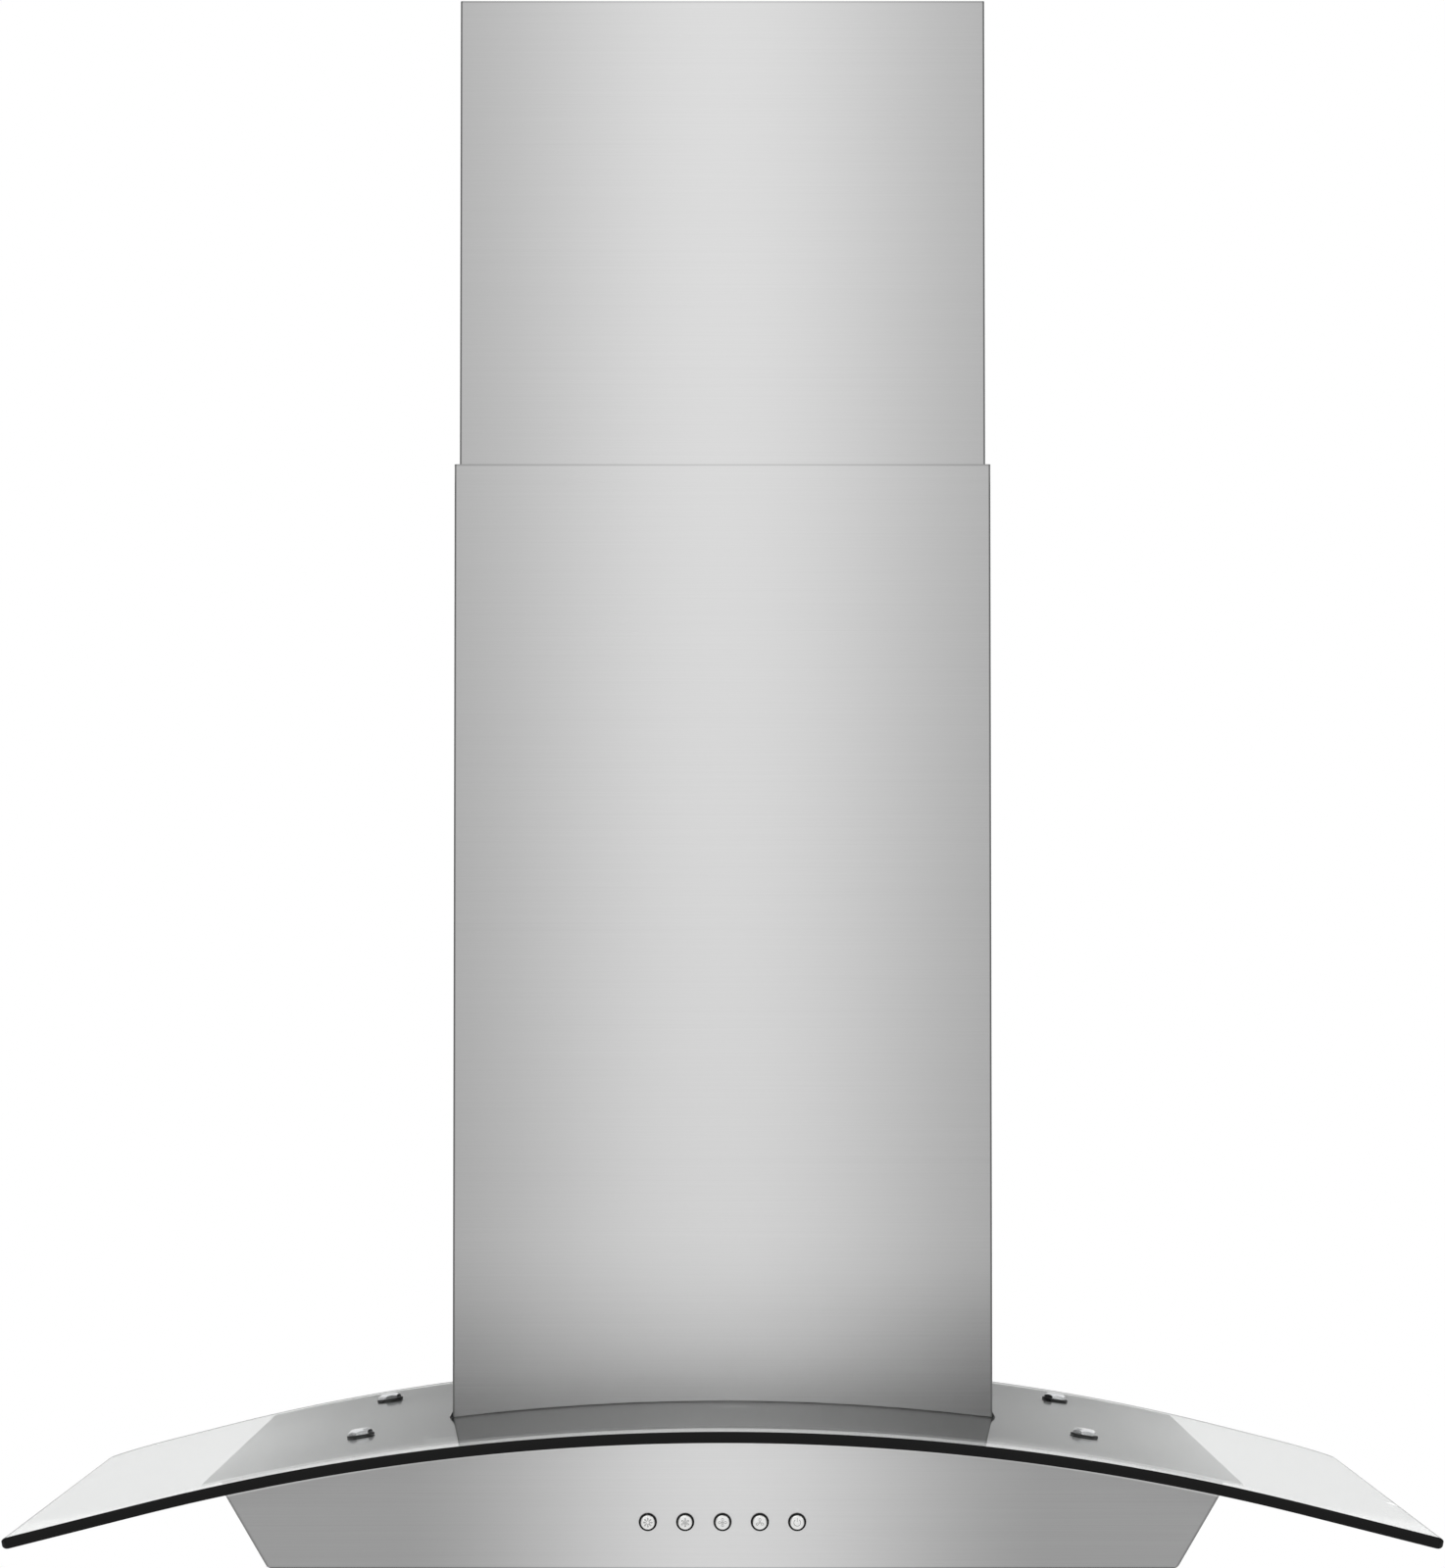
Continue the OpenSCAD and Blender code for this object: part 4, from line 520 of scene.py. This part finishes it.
# The nodes that each material is on
FINISH = {
    "chimney steel": ["lower_chimney"],
    "upper chimney steel": ["upper_chimney"],
    "panel steel": ["front_panel"],
    "side steel": ["left_side_panel", "right_side_panel", "back_panel"],
    "plate steel": ["top_plate"],
    "frame steel": ["bottom_frame"],
    "filter steel": [
        "left_filter_frame",
        "left_filter_baffles",
        "right_filter_frame",
        "right_filter_baffles",
    ],
    "galvanised": [
        "chimney_tabs",
        "chimney_bracket",
        "wall_bracket",
        "blower_box",
        "motor_bracket",
        "capacitor_clip",
        "junction_box",
        "junction_cover",
    ],
    "duct galvanised": ["duct_collar"],
    "chrome": [
        "glass_bolts",
        "chimney_tab_screws",
        "chimney_bracket_screws",
        "left_lamp",
        "right_lamp",
        "left_filter_handle",
        "right_filter_handle",
    ],
    "zinc": [
        "frame_screws",
        "glass_nuts",
        "blower_box_screws",
        "motor_bracket_screws",
        "collar_screws",
        "housing_nuts",
    ],
    "ground steel": ["motor_shaft", "damper_pin"],
    "aluminium": ["damper_flap_front", "damper_flap_rear"],
    "cast": ["motor"],
    "rubber": ["glass_washers_upper", "glass_washers_lower", "chimney_side_seals", "control_lead"],
    "black plastic": ["blower_scroll", "cable_gland", "switch_housing"],
    "gloss black": ["button_bezels"],
    "grey plastic": ["impeller"],
    "white plastic": ["capacitor", "lamp_driver", "lead_connector"],
    "button silver": [
        "button_light",
        "button_speed_high",
        "button_speed_medium",
        "button_speed_low",
        "button_power",
    ],
    "board": ["switch_board"],
    "lens": ["left_lamp_lens", "right_lamp_lens"],
    "glass": ["glass_canopy"],
}


def finish_nodes():
    """Gives every CAD node its material."""
    for name, members in FINISH.items():
        for member in members:
            slots = nodes[member].data.materials
            slots.clear()
            slots.append(materials[name])
    finished = sorted(member for members in FINISH.values() for member in members)
    if finished != sorted(nodes):
        raise ValueError("not every node has one finish: %s" % sorted(set(nodes) ^ set(finished)))


# Each folded sheet's fold radius, and whether only its upright outer corners are rounded
FOLDED = {
    "lower_chimney": (0.0009, True),
    "upper_chimney": (0.0009, True),
    "front_panel": (0.0005, False),
    "left_side_panel": (0.0005, False),
    "right_side_panel": (0.0005, False),
    "left_filter_frame": (0.0004, False),
    "right_filter_frame": (0.0004, False),
}
FOLD_ANGLE = 40
UPRIGHT_SHARE = 0.999


def mark_upright_corners(mesh, outer_x):
    """Gives the bevel's weight only to the upright edges further out than outer_x."""
    weights = mesh.attributes.new("bevel_weight_edge", "FLOAT", "EDGE").data
    for weight, edge in zip(weights, mesh.edges):
        low, high = (mesh.vertices[i].co for i in edge.vertices)
        upright = abs(high.z - low.z) > UPRIGHT_SHARE * (high - low).length
        weight.value = 1.0 if upright and abs(low.x) > outer_x else 0.0


def soften_folds():
    """Rounds the sharp folds of the sheets, so that they catch the light."""
    for name, (radius, upright_only) in FOLDED.items():
        weld = nodes[name].modifiers.new("weld", "WELD")
        weld.merge_threshold = SAME_POINT
        bevel = nodes[name].modifiers.new("bevel", "BEVEL")
        bevel.width = radius
        bevel.segments = 3
        bevel.use_clamp_overlap = True
        bevel.harden_normals = True
        if upright_only:
            bevel.limit_method = "WEIGHT"
            mark_upright_corners(nodes[name].data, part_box(name)[1].x - SAME_PLACE)
        else:
            bevel.limit_method = "ANGLE"
            bevel.angle_limit = math.radians(FOLD_ANGLE)


# Mesh and curve helpers


def add_object(name, data):
    obj = bpy.data.objects.new(name, data)
    bpy.context.scene.collection.objects.link(obj)
    return obj


def add_spline(curve, points, closed):
    """A line through points that each have an x, y and z."""
    spline = curve.splines.new("POLY")
    spline.points.add(len(points) - 1)
    for point, position in zip(spline.points, points):
        point.co = (*position, 1.0)
    spline.use_cyclic_u = closed


def arc_points(centre, radius, start, end, steps):
    """Points on an arc in a plane, angles in degrees."""
    angles = [math.radians(start + (end - start) * i / steps) for i in range(steps + 1)]
    return [(centre[0] + radius * math.cos(a), centre[1] + radius * math.sin(a)) for a in angles]


def circle_points(centre, radius, steps):
    return arc_points(centre, radius, 0, 360, steps)[:-1]


def vectors(items, key):
    """One vector from each item, as the rows of an array."""
    flat = np.zeros(len(items) * 3)
    items.foreach_get(key, flat)
    return flat.reshape(-1, 3)


def shade_smooth(mesh, sharp_angle):
    """Smooth shading, apart from edges sharper than an angle in degrees."""
    for polygon in mesh.polygons:
        polygon.use_smooth = True
    mesh.set_sharp_from_angle(angle=math.radians(sharp_angle))


# The glass canopy: its plan is drawn as a flat curve with soft edges, and then bent over the arch

ARRIS = 0.0003
COLUMNS = 140
END_STEPS = 6
END_ROUND_R = 0.0035
END_ROUND_SHARE = 0.85


def surface_height(x):
    """Height of the glass's upper face, and its slope, for an array of x."""
    on_arc = np.minimum(np.abs(x), ARC_HALF_W)
    past_arc = np.maximum(np.abs(x) - ARC_HALF_W, 0)
    above_axis = np.sqrt(GLASS_ARC_R**2 - on_arc**2)
    straight_slope = ARC_HALF_W / math.sqrt(GLASS_ARC_R**2 - ARC_HALF_W**2)
    height = ARC_Z + above_axis - past_arc * straight_slope
    slope = -np.sign(x) * on_arc / above_axis
    return height, slope


def glass_outline():
    """The glass's plan, counter-clockwise from the front left corner, without its holes."""
    half_w = glass_high.x
    front, back = FRONT_CORNER_R, BACK_CORNER_R
    points = arc_points((-half_w + front, -GLASS_D + front), front, 180, 270, 8)
    points += arc_points((half_w - front, -GLASS_D + front), front, 270, 360, 8)
    points += arc_points((half_w - back, -back), back, 0, 90, 24)
    points += [
        (NOTCH_HALF_W, 0.0),
        (NOTCH_HALF_W, -NOTCH_D),
        (-NOTCH_HALF_W, -NOTCH_D),
        (-NOTCH_HALF_W, 0.0),
    ]
    points += arc_points((-half_w + back, -back), back, 90, 180, 24)
    return points


def glass_holes():
    """The outlines of the four bolt holes."""
    turn = math.asin(BOLT_X / PLATE_R)
    centre_x = (GLASS_ARC_R - GLASS_T / 2) * math.sin(turn)
    for side in (-1, 1):
        for back in (BOLT_BACK, BOLT_BACK + BOLT_PITCH):
            yield circle_points((side * centre_x, -back), HOLE_D / 2, 31)


def flat_plate(name, outlines, thickness, arris):
    """A flat plate in x and y with bevelled edges, from a filled curve."""
    curve = bpy.data.curves.new(name, "CURVE")
    curve.dimensions = "2D"
    curve.fill_mode = "BOTH"
    curve.extrude = thickness / 2 - arris
    curve.bevel_depth = arris
    curve.bevel_resolution = 1
    curve.offset = -arris
    for outline in outlines:
        add_spline(curve, [(x, y, 0.0) for x, y in outline], True)
    holder = add_object(name, curve)
    bpy.context.view_layer.update()
    evaluated = holder.evaluated_get(bpy.context.evaluated_depsgraph_get())
    mesh = bpy.data.meshes.new_from_object(evaluated)
    bpy.data.objects.remove(holder)
    bpy.data.curves.remove(curve)
    return mesh


def cut_columns(mesh):
    """Welds the flat plate and cuts it along its width, most finely near the ends, so that it can bend."""
    left, right = glass_low.x, glass_high.x
    cuts = [left + (right - left) * i / COLUMNS for i in range(1, COLUMNS)]
    for step in range(END_STEPS):
        inset = END_ROUND_R * (1 - math.sin(math.radians(90 * step / END_STEPS)))
        cuts += [left + inset, right - inset]
    shape = bmesh.new()
    shape.from_mesh(mesh)
    bmesh.ops.remove_doubles(shape, verts=shape.verts, dist=2 * SAME_POINT)
    for x in cuts:
        everything = list(shape.verts) + list(shape.edges) + list(shape.faces)
        plane = {"plane_co": (x, 0, 0), "plane_no": (1, 0, 0)}
        bmesh.ops.bisect_plane(shape, geom=everything, dist=SAME_POINT, **plane)
    bmesh.ops.recalc_face_normals(shape, faces=shape.faces)
    shape.to_mesh(mesh)
    shape.free()


def bend(flat, into_end):
    """Lays flat points over the arch, square to its surface, and rounds the ends, where into_end rises
    from 0 to 1."""
    height, slope = surface_height(flat[:, 0])
    stretch = np.sqrt(1 + slope**2)
    thinner = 1 - END_ROUND_SHARE * (1 - np.sqrt(1 - into_end**2))
    off_middle = flat[:, 2] * thinner
    bent = flat.copy()
    bent[:, 0] = np.clip(flat[:, 0] - off_middle * slope / stretch, glass_low.x, glass_high.x)
    bent[:, 2] = height - GLASS_T / 2 * stretch + off_middle / stretch
    return bent


def finish_glass(mesh, flat_normals):
    """Black enamel on the front edge, ground glass on the other edges, and clear glass on the faces."""
    clear, front, ground = range(3)
    for finish in ("glass", "black enamel", "ground edge"):
        mesh.materials.append(materials[finish])
    front_y = -GLASS_D + FRONT_CORNER_R
    for polygon, normal in zip(mesh.polygons, flat_normals):
        in_front = max(mesh.vertices[i].co.y for i in polygon.vertices) < front_y
        if in_front and normal[1] < -0.2:
            polygon.material_index = front
        else:
            polygon.material_index = ground if abs(normal[2]) < 0.2 else clear


def arch_normals(mesh, flat_normals, slope, into_end):
    """Gives the upper and lower face the arch's own normals, so that they mirror without facets. The
    rounded ends keep theirs."""
    normals = vectors(mesh.corner_normals, "vector")
    for polygon, normal in zip(mesh.polygons, flat_normals):
        if abs(normal[2]) > 0.99 and not any(into_end[i] for i in polygon.vertices):
            for loop in polygon.loop_indices:
                corner = mesh.loops[loop].vertex_index
                up = Vector((-slope[corner], 0.0, 1.0)).normalized()
                normals[loop] = up * math.copysign(1.0, normal[2])
    mesh.normals_split_custom_set(normals.tolist())


def glass_canopy():
    mesh = flat_plate("canopy_glass", [glass_outline(), *glass_holes()], GLASS_T, ARRIS)
    cut_columns(mesh)
    flat = vectors(mesh.vertices, "co")
    flat_normals = vectors(mesh.polygons, "normal")
    slope = surface_height(flat[:, 0])[1]
    into_end = np.clip((np.abs(flat[:, 0]) - glass_high.x + END_ROUND_R) / END_ROUND_R, 0, 1)
    mesh.vertices.foreach_set("co", bend(flat, into_end).ravel())
    mesh.update()
    finish_glass(mesh, flat_normals)
    shade_smooth(mesh, 25)
    arch_normals(mesh, flat_normals, slope, into_end)
    piece = add_object("canopy_glass", mesh)
    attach(piece, "hood")
    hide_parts("glass_canopy")


# Push buttons: a turned cap with a slight dome, and its engraved sign

# The cap's rounded rim: how far behind the front, and how far inside the cap's radius
CAP_RIM = [(0.00080, 0.0), (0.00045, 0.00006), (0.00022, 0.00025), (0.00012, 0.00060), (0.00004, 0.00180)]

# The signs: their depth behind the front, and the sizes of their lines
SIGN_DEPTH = 0.00008
SIGN_LINE_R = 0.00013
BLADE_IN = 0.0006
BLADE_OUT = 0.0022
BLADES_W = 0.0058
HUB_R = 0.00035
RAYS = 8
RAY_IN = 0.0014
RAY_OUT = 0.0024
RAY_W = 0.0007
LAMP_RING_R = 0.0010
POWER_RING_R = 0.0018


def turned(name, profile, steps=48):
    """A solid of revolution about an axis along y. The profile is points of y and radius, in order from
    the back to the front."""
    shape = bmesh.new()
    rings = []
    for y, radius in profile:
        if radius == 0:
            rings.append([shape.verts.new((0.0, y, 0.0))])
            continue
        angles = [2 * math.pi * i / steps for i in range(steps)]
        rings.append([shape.verts.new((radius * math.cos(a), y, radius * math.sin(a))) for a in angles])
    for low, high in zip(rings, rings[1:]):
        for i in range(steps):
            j = (i + 1) % steps
            corners = [low[i % len(low)], low[j % len(low)], high[j % len(high)], high[i % len(high)]]
            shape.faces.new(list(dict.fromkeys(corners)))
    bmesh.ops.recalc_face_normals(shape, faces=shape.faces)
    mesh = bpy.data.meshes.new(name)
    shape.to_mesh(mesh)
    shape.free()
    shade_smooth(mesh, 40)
    return mesh


def strokes(name, lines):
    """Round lines in the plane of the buttons' faces, each a list of points and whether it closes."""
    curve = bpy.data.curves.new(name, "CURVE")
    curve.dimensions = "3D"
    curve.bevel_depth = SIGN_LINE_R
    curve.bevel_resolution = 1
    for points, closed in lines:
        add_spline(curve, [(x, 0.0, z) for x, z in points], closed)
    return curve


def ring_line(radius, steps):
    return circle_points((0, 0), radius, steps), True


def petal(turn, inner, outer, width, steps=14):
    """A closed drop shape that points away from the middle."""
    points = []
    for i in range(steps):
        a = 2 * math.pi * i / steps
        along = (inner + outer) / 2 + (outer - inner) / 2 * math.cos(a)
        across = width / 2 * math.sin(a) * (0.75 + 0.25 * math.cos(a))
        x = along * math.cos(turn) - across * math.sin(turn)
        z = along * math.sin(turn) + across * math.cos(turn)
        points.append((x, z))
    return points, True


def fan_sign(blades):
    """A fan wheel: its blades round a hub."""
    turns = [math.pi / 2 + 2 * math.pi * i / blades for i in range(blades)]
    lines = [petal(turn, BLADE_IN, BLADE_OUT, BLADES_W / max(blades, 4)) for turn in turns]
    return lines + [ring_line(HUB_R, 10)]


def light_sign():
    """A lamp: a ring with rays."""
    lines = [petal(2 * math.pi * i / RAYS, RAY_IN, RAY_OUT, RAY_W) for i in range(RAYS)]
    return lines + [ring_line(LAMP_RING_R, 20)]


def power_sign():
    """An open ring with a bar in its gap."""
    ring = (arc_points((0, -0.0001), POWER_RING_R, 125, 415, 30), False)
    bar = ([(0, 0.0024), (0, 0.0004)], False)
    return [ring, bar]


def push_buttons():
    """The five caps in a row, each with its sign."""
    low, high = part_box("button_power")
    front_y, stem_y = low.y, high.y
    button_z = (low.z + high.z) / 2
    flange_y = BEZEL_BACK_Y + SHEET_T
    profile = [
        (stem_y, 0),
        (stem_y, BUTTON_STEM_D / 2),
        (flange_y, BUTTON_STEM_D / 2),
        (flange_y, BUTTON_FLANGE_D / 2),
        (BEZEL_BACK_Y, BUTTON_FLANGE_D / 2),
        (BEZEL_BACK_Y, BUTTON_D / 2),
    ]
    profile += [(front_y + behind, BUTTON_D / 2 - inside) for behind, inside in CAP_RIM]
    profile += [(front_y, 0)]
    signs = {
        "light": light_sign(),
        "speed_high": fan_sign(6),
        "speed_medium": fan_sign(4),
        "speed_low": fan_sign(3),
        "power": power_sign(),
    }
    for i, (name, lines) in enumerate(signs.items()):
        x = (i - 2) * BUTTON_PITCH
        member = "button_" + name
        cap = add_object("cap_" + name, turned("cap_" + name, profile))
        cap.data.materials.append(materials["button silver"])
        cap.location = (x, 0, button_z)
        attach(cap, name + "_button")
        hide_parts(member)
        sign = add_object("sign_" + name, strokes("sign_" + name, lines))
        sign.data.materials.append(materials["sign grey"])
        sign.location = (x, front_y + SIGN_DEPTH, button_z)
        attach(sign, name + "_button")


# Stage

CAMERA_AT = (0.0, -3.201, 0.0399)
CAMERA_TILT = 92.37
CAMERA_LENS = 117.15

# Strength of the even light on the object, and of the mirrored room's sides, against 1 for white
EVEN_LIGHT = 0.55
ROOM_SIDES = 0.45

# The wall's glow: its place and size, its strength at two distances from the middle, weaker near it for
# painted shade of the hood, and the rise in strength above the glass, past the glass's painted shade
GLOW_Y = 0.02
GLOW_HALF_W = 1.2
GLOW_TOP_Z = 1.0
GLOW_NEAR_X = 0.15
GLOW_FAR_X = 0.31
GLOW_IN_PAINTED_SHADE = 0.53
GLOW_FAR = 0.80
GLOW_RISE = 0.30

FLOOR_Z = -1.25
FLOOR_HALF_W = 6.0
FLOOR_GLOW = 0.28

# Each lamp's place, what it points at, and its watts
LAMP_SIZE = 1.6
LAMPS = {
    "key": ((-1.4, -2.4, 1.8), (0, -0.2, 0.1), 28.0),
    "fill": ((1.8, -2.0, 0.9), (0, -0.2, 0.0), 16.0),
    "top": ((0.0, -0.3, 2.4), (0, -0.3, 0.0), 14.0),
}


def camera():
    made = bpy.data.cameras.new("camera")
    made.sensor_width = 36.0
    made.lens = CAMERA_LENS
    made.clip_end = 50.0
    holder = add_object("camera", made)
    holder.location = CAMERA_AT
    holder.rotation_euler = (math.radians(CAMERA_TILT), 0.0, 0.0)
    bpy.context.scene.camera = holder


def world_light():
    """White for the camera and through the glass, even light on the object, and for reflections a white
    room whose sides are darker than its front and back."""
    world = bpy.data.worlds.new("studio")
    bpy.context.scene.world = world
    world.use_nodes = True
    tree = world.node_tree
    tree.nodes.clear()
    direction = node(tree, "TexCoord").outputs["Generated"]
    parts = node(tree, "SeparateXYZ", {"Vector": direction})
    sideways = math_node(tree, "ABSOLUTE", parts.outputs["X"])
    room = fit(tree, sideways, 0.35, 0.95, 1.0, ROOM_SIDES, smooth=True)
    lit, mirrored, seen = (
        node(tree, "Background", {"Color": grey(1.0), "Strength": strength}).outputs[0]
        for strength in (EVEN_LIGHT, room, 1.0)
    )
    path = node(tree, "LightPath").outputs
    clear = math_node(tree, "MAXIMUM", path["Is Camera Ray"], path["Is Transmission Ray"])
    lighting = mix_shaders(tree, path["Is Glossy Ray"], lit, mirrored)
    node(tree, "OutputWorld", {"Surface": mix_shaders(tree, clear, lighting, seen)})


def area_light(name, location, target, watts):
    """A square soft lamp that reflections don't show."""
    light = bpy.data.lights.new(name, "AREA")
    light.shape = "RECTANGLE"
    light.size = LAMP_SIZE
    light.size_y = LAMP_SIZE
    light.energy = watts
    lamp = add_object(name, light)
    lamp.location = location
    aim = Vector(target) - Vector(location)
    lamp.rotation_euler = aim.to_track_quat("-Z", "Y").to_euler()
    lamp.visible_glossy = False


def one_sided(tree, front):
    """Shows the shader on the front of a face, and nothing from behind it."""
    behind = node(tree, "NewGeometry").outputs["Backfacing"]
    nothing = node(tree, "BsdfTransparent").outputs[0]
    set_surface(tree, mix_shaders(tree, behind, front, nothing))


def wall_glow():
    """The wall behind the hood, as reflections show it: a glowing card with painted shade, darker near the
    chimney, and lighter again from a little above the glass. Its lower edge follows the glass's rear edge,
    so that it isn't seen through the glass."""
    columns = np.linspace(-GLOW_HALF_W, GLOW_HALF_W, 121)
    rear_edge = surface_height(columns)[0] - GLASS_T / 2
    outline = [(float(x), float(z)) for x, z in zip(columns, rear_edge)]
    outline += [(GLOW_HALF_W, GLOW_TOP_Z), (-GLOW_HALF_W, GLOW_TOP_Z)]
    corners = [(x, GLOW_Y, z) for x, z in outline]
    mesh = bpy.data.meshes.new("wall_glow")
    mesh.from_pydata(corners, [], [tuple(range(len(corners)))])
    card = add_object("wall_glow", mesh)
    material, tree = new_material("wall_glow")[:2]
    x, z = place(tree)[1], place(tree)[3]
    across = math_node(tree, "ABSOLUTE", x)
    # Painted shade of the hood: weaker near the chimney, and below a little above the glass
    painted_shade_strength = fit(tree, across, GLOW_NEAR_X, GLOW_FAR_X, GLOW_IN_PAINTED_SHADE, GLOW_FAR)
    radius = from_arch_axis(tree, x, z)
    above = fit(tree, radius, GLASS_ARC_R + 0.035, GLASS_ARC_R + 0.041, 0.0, GLOW_RISE, smooth=True)
    strength = math_node(tree, "MINIMUM", math_node(tree, "ADD", painted_shade_strength, above), 1.0)
    one_sided(tree, node(tree, "Emission", {"Color": grey(1.0), "Strength": strength}).outputs[0])
    mesh.materials.append(material)
    card.visible_camera = False
    card.visible_diffuse = False
    card.visible_shadow = False


def floor():
    """A pale floor below the hood. It can be looked through from beneath."""
    mesh = bpy.data.meshes.new("floor")
    shape = bmesh.new()
    bmesh.ops.create_grid(shape, x_segments=2, y_segments=2, size=FLOOR_HALF_W)
    shape.to_mesh(mesh)
    shape.free()
    piece = add_object("floor", mesh)
    piece.location = (0, 0, FLOOR_Z)
    material, tree, shader = new_material("floor")
    shader.inputs["Base Color"].default_value = grey(0.84)
    shader.inputs["Roughness"].default_value = 0.8
    shader.inputs["Emission Color"].default_value = grey(1.0)
    path = node(tree, "LightPath").outputs
    seen = math_node(tree, "MAXIMUM", path["Is Camera Ray"], path["Is Transmission Ray"])
    seen = math_node(tree, "MAXIMUM", seen, path["Is Glossy Ray"])
    plug(tree, shader.inputs["Emission Strength"], spread(tree, seen, 0.0, FLOOR_GLOW))
    one_sided(tree, shader.outputs[0])
    mesh.materials.append(material)


camera()
world_light()
wall_glow()
floor()
for lamp_name, lamp_settings in LAMPS.items():
    area_light(lamp_name, *lamp_settings)

finish_nodes()
soften_folds()
glass_canopy()
push_buttons()

bpy.context.scene.view_settings.view_transform = "Standard"
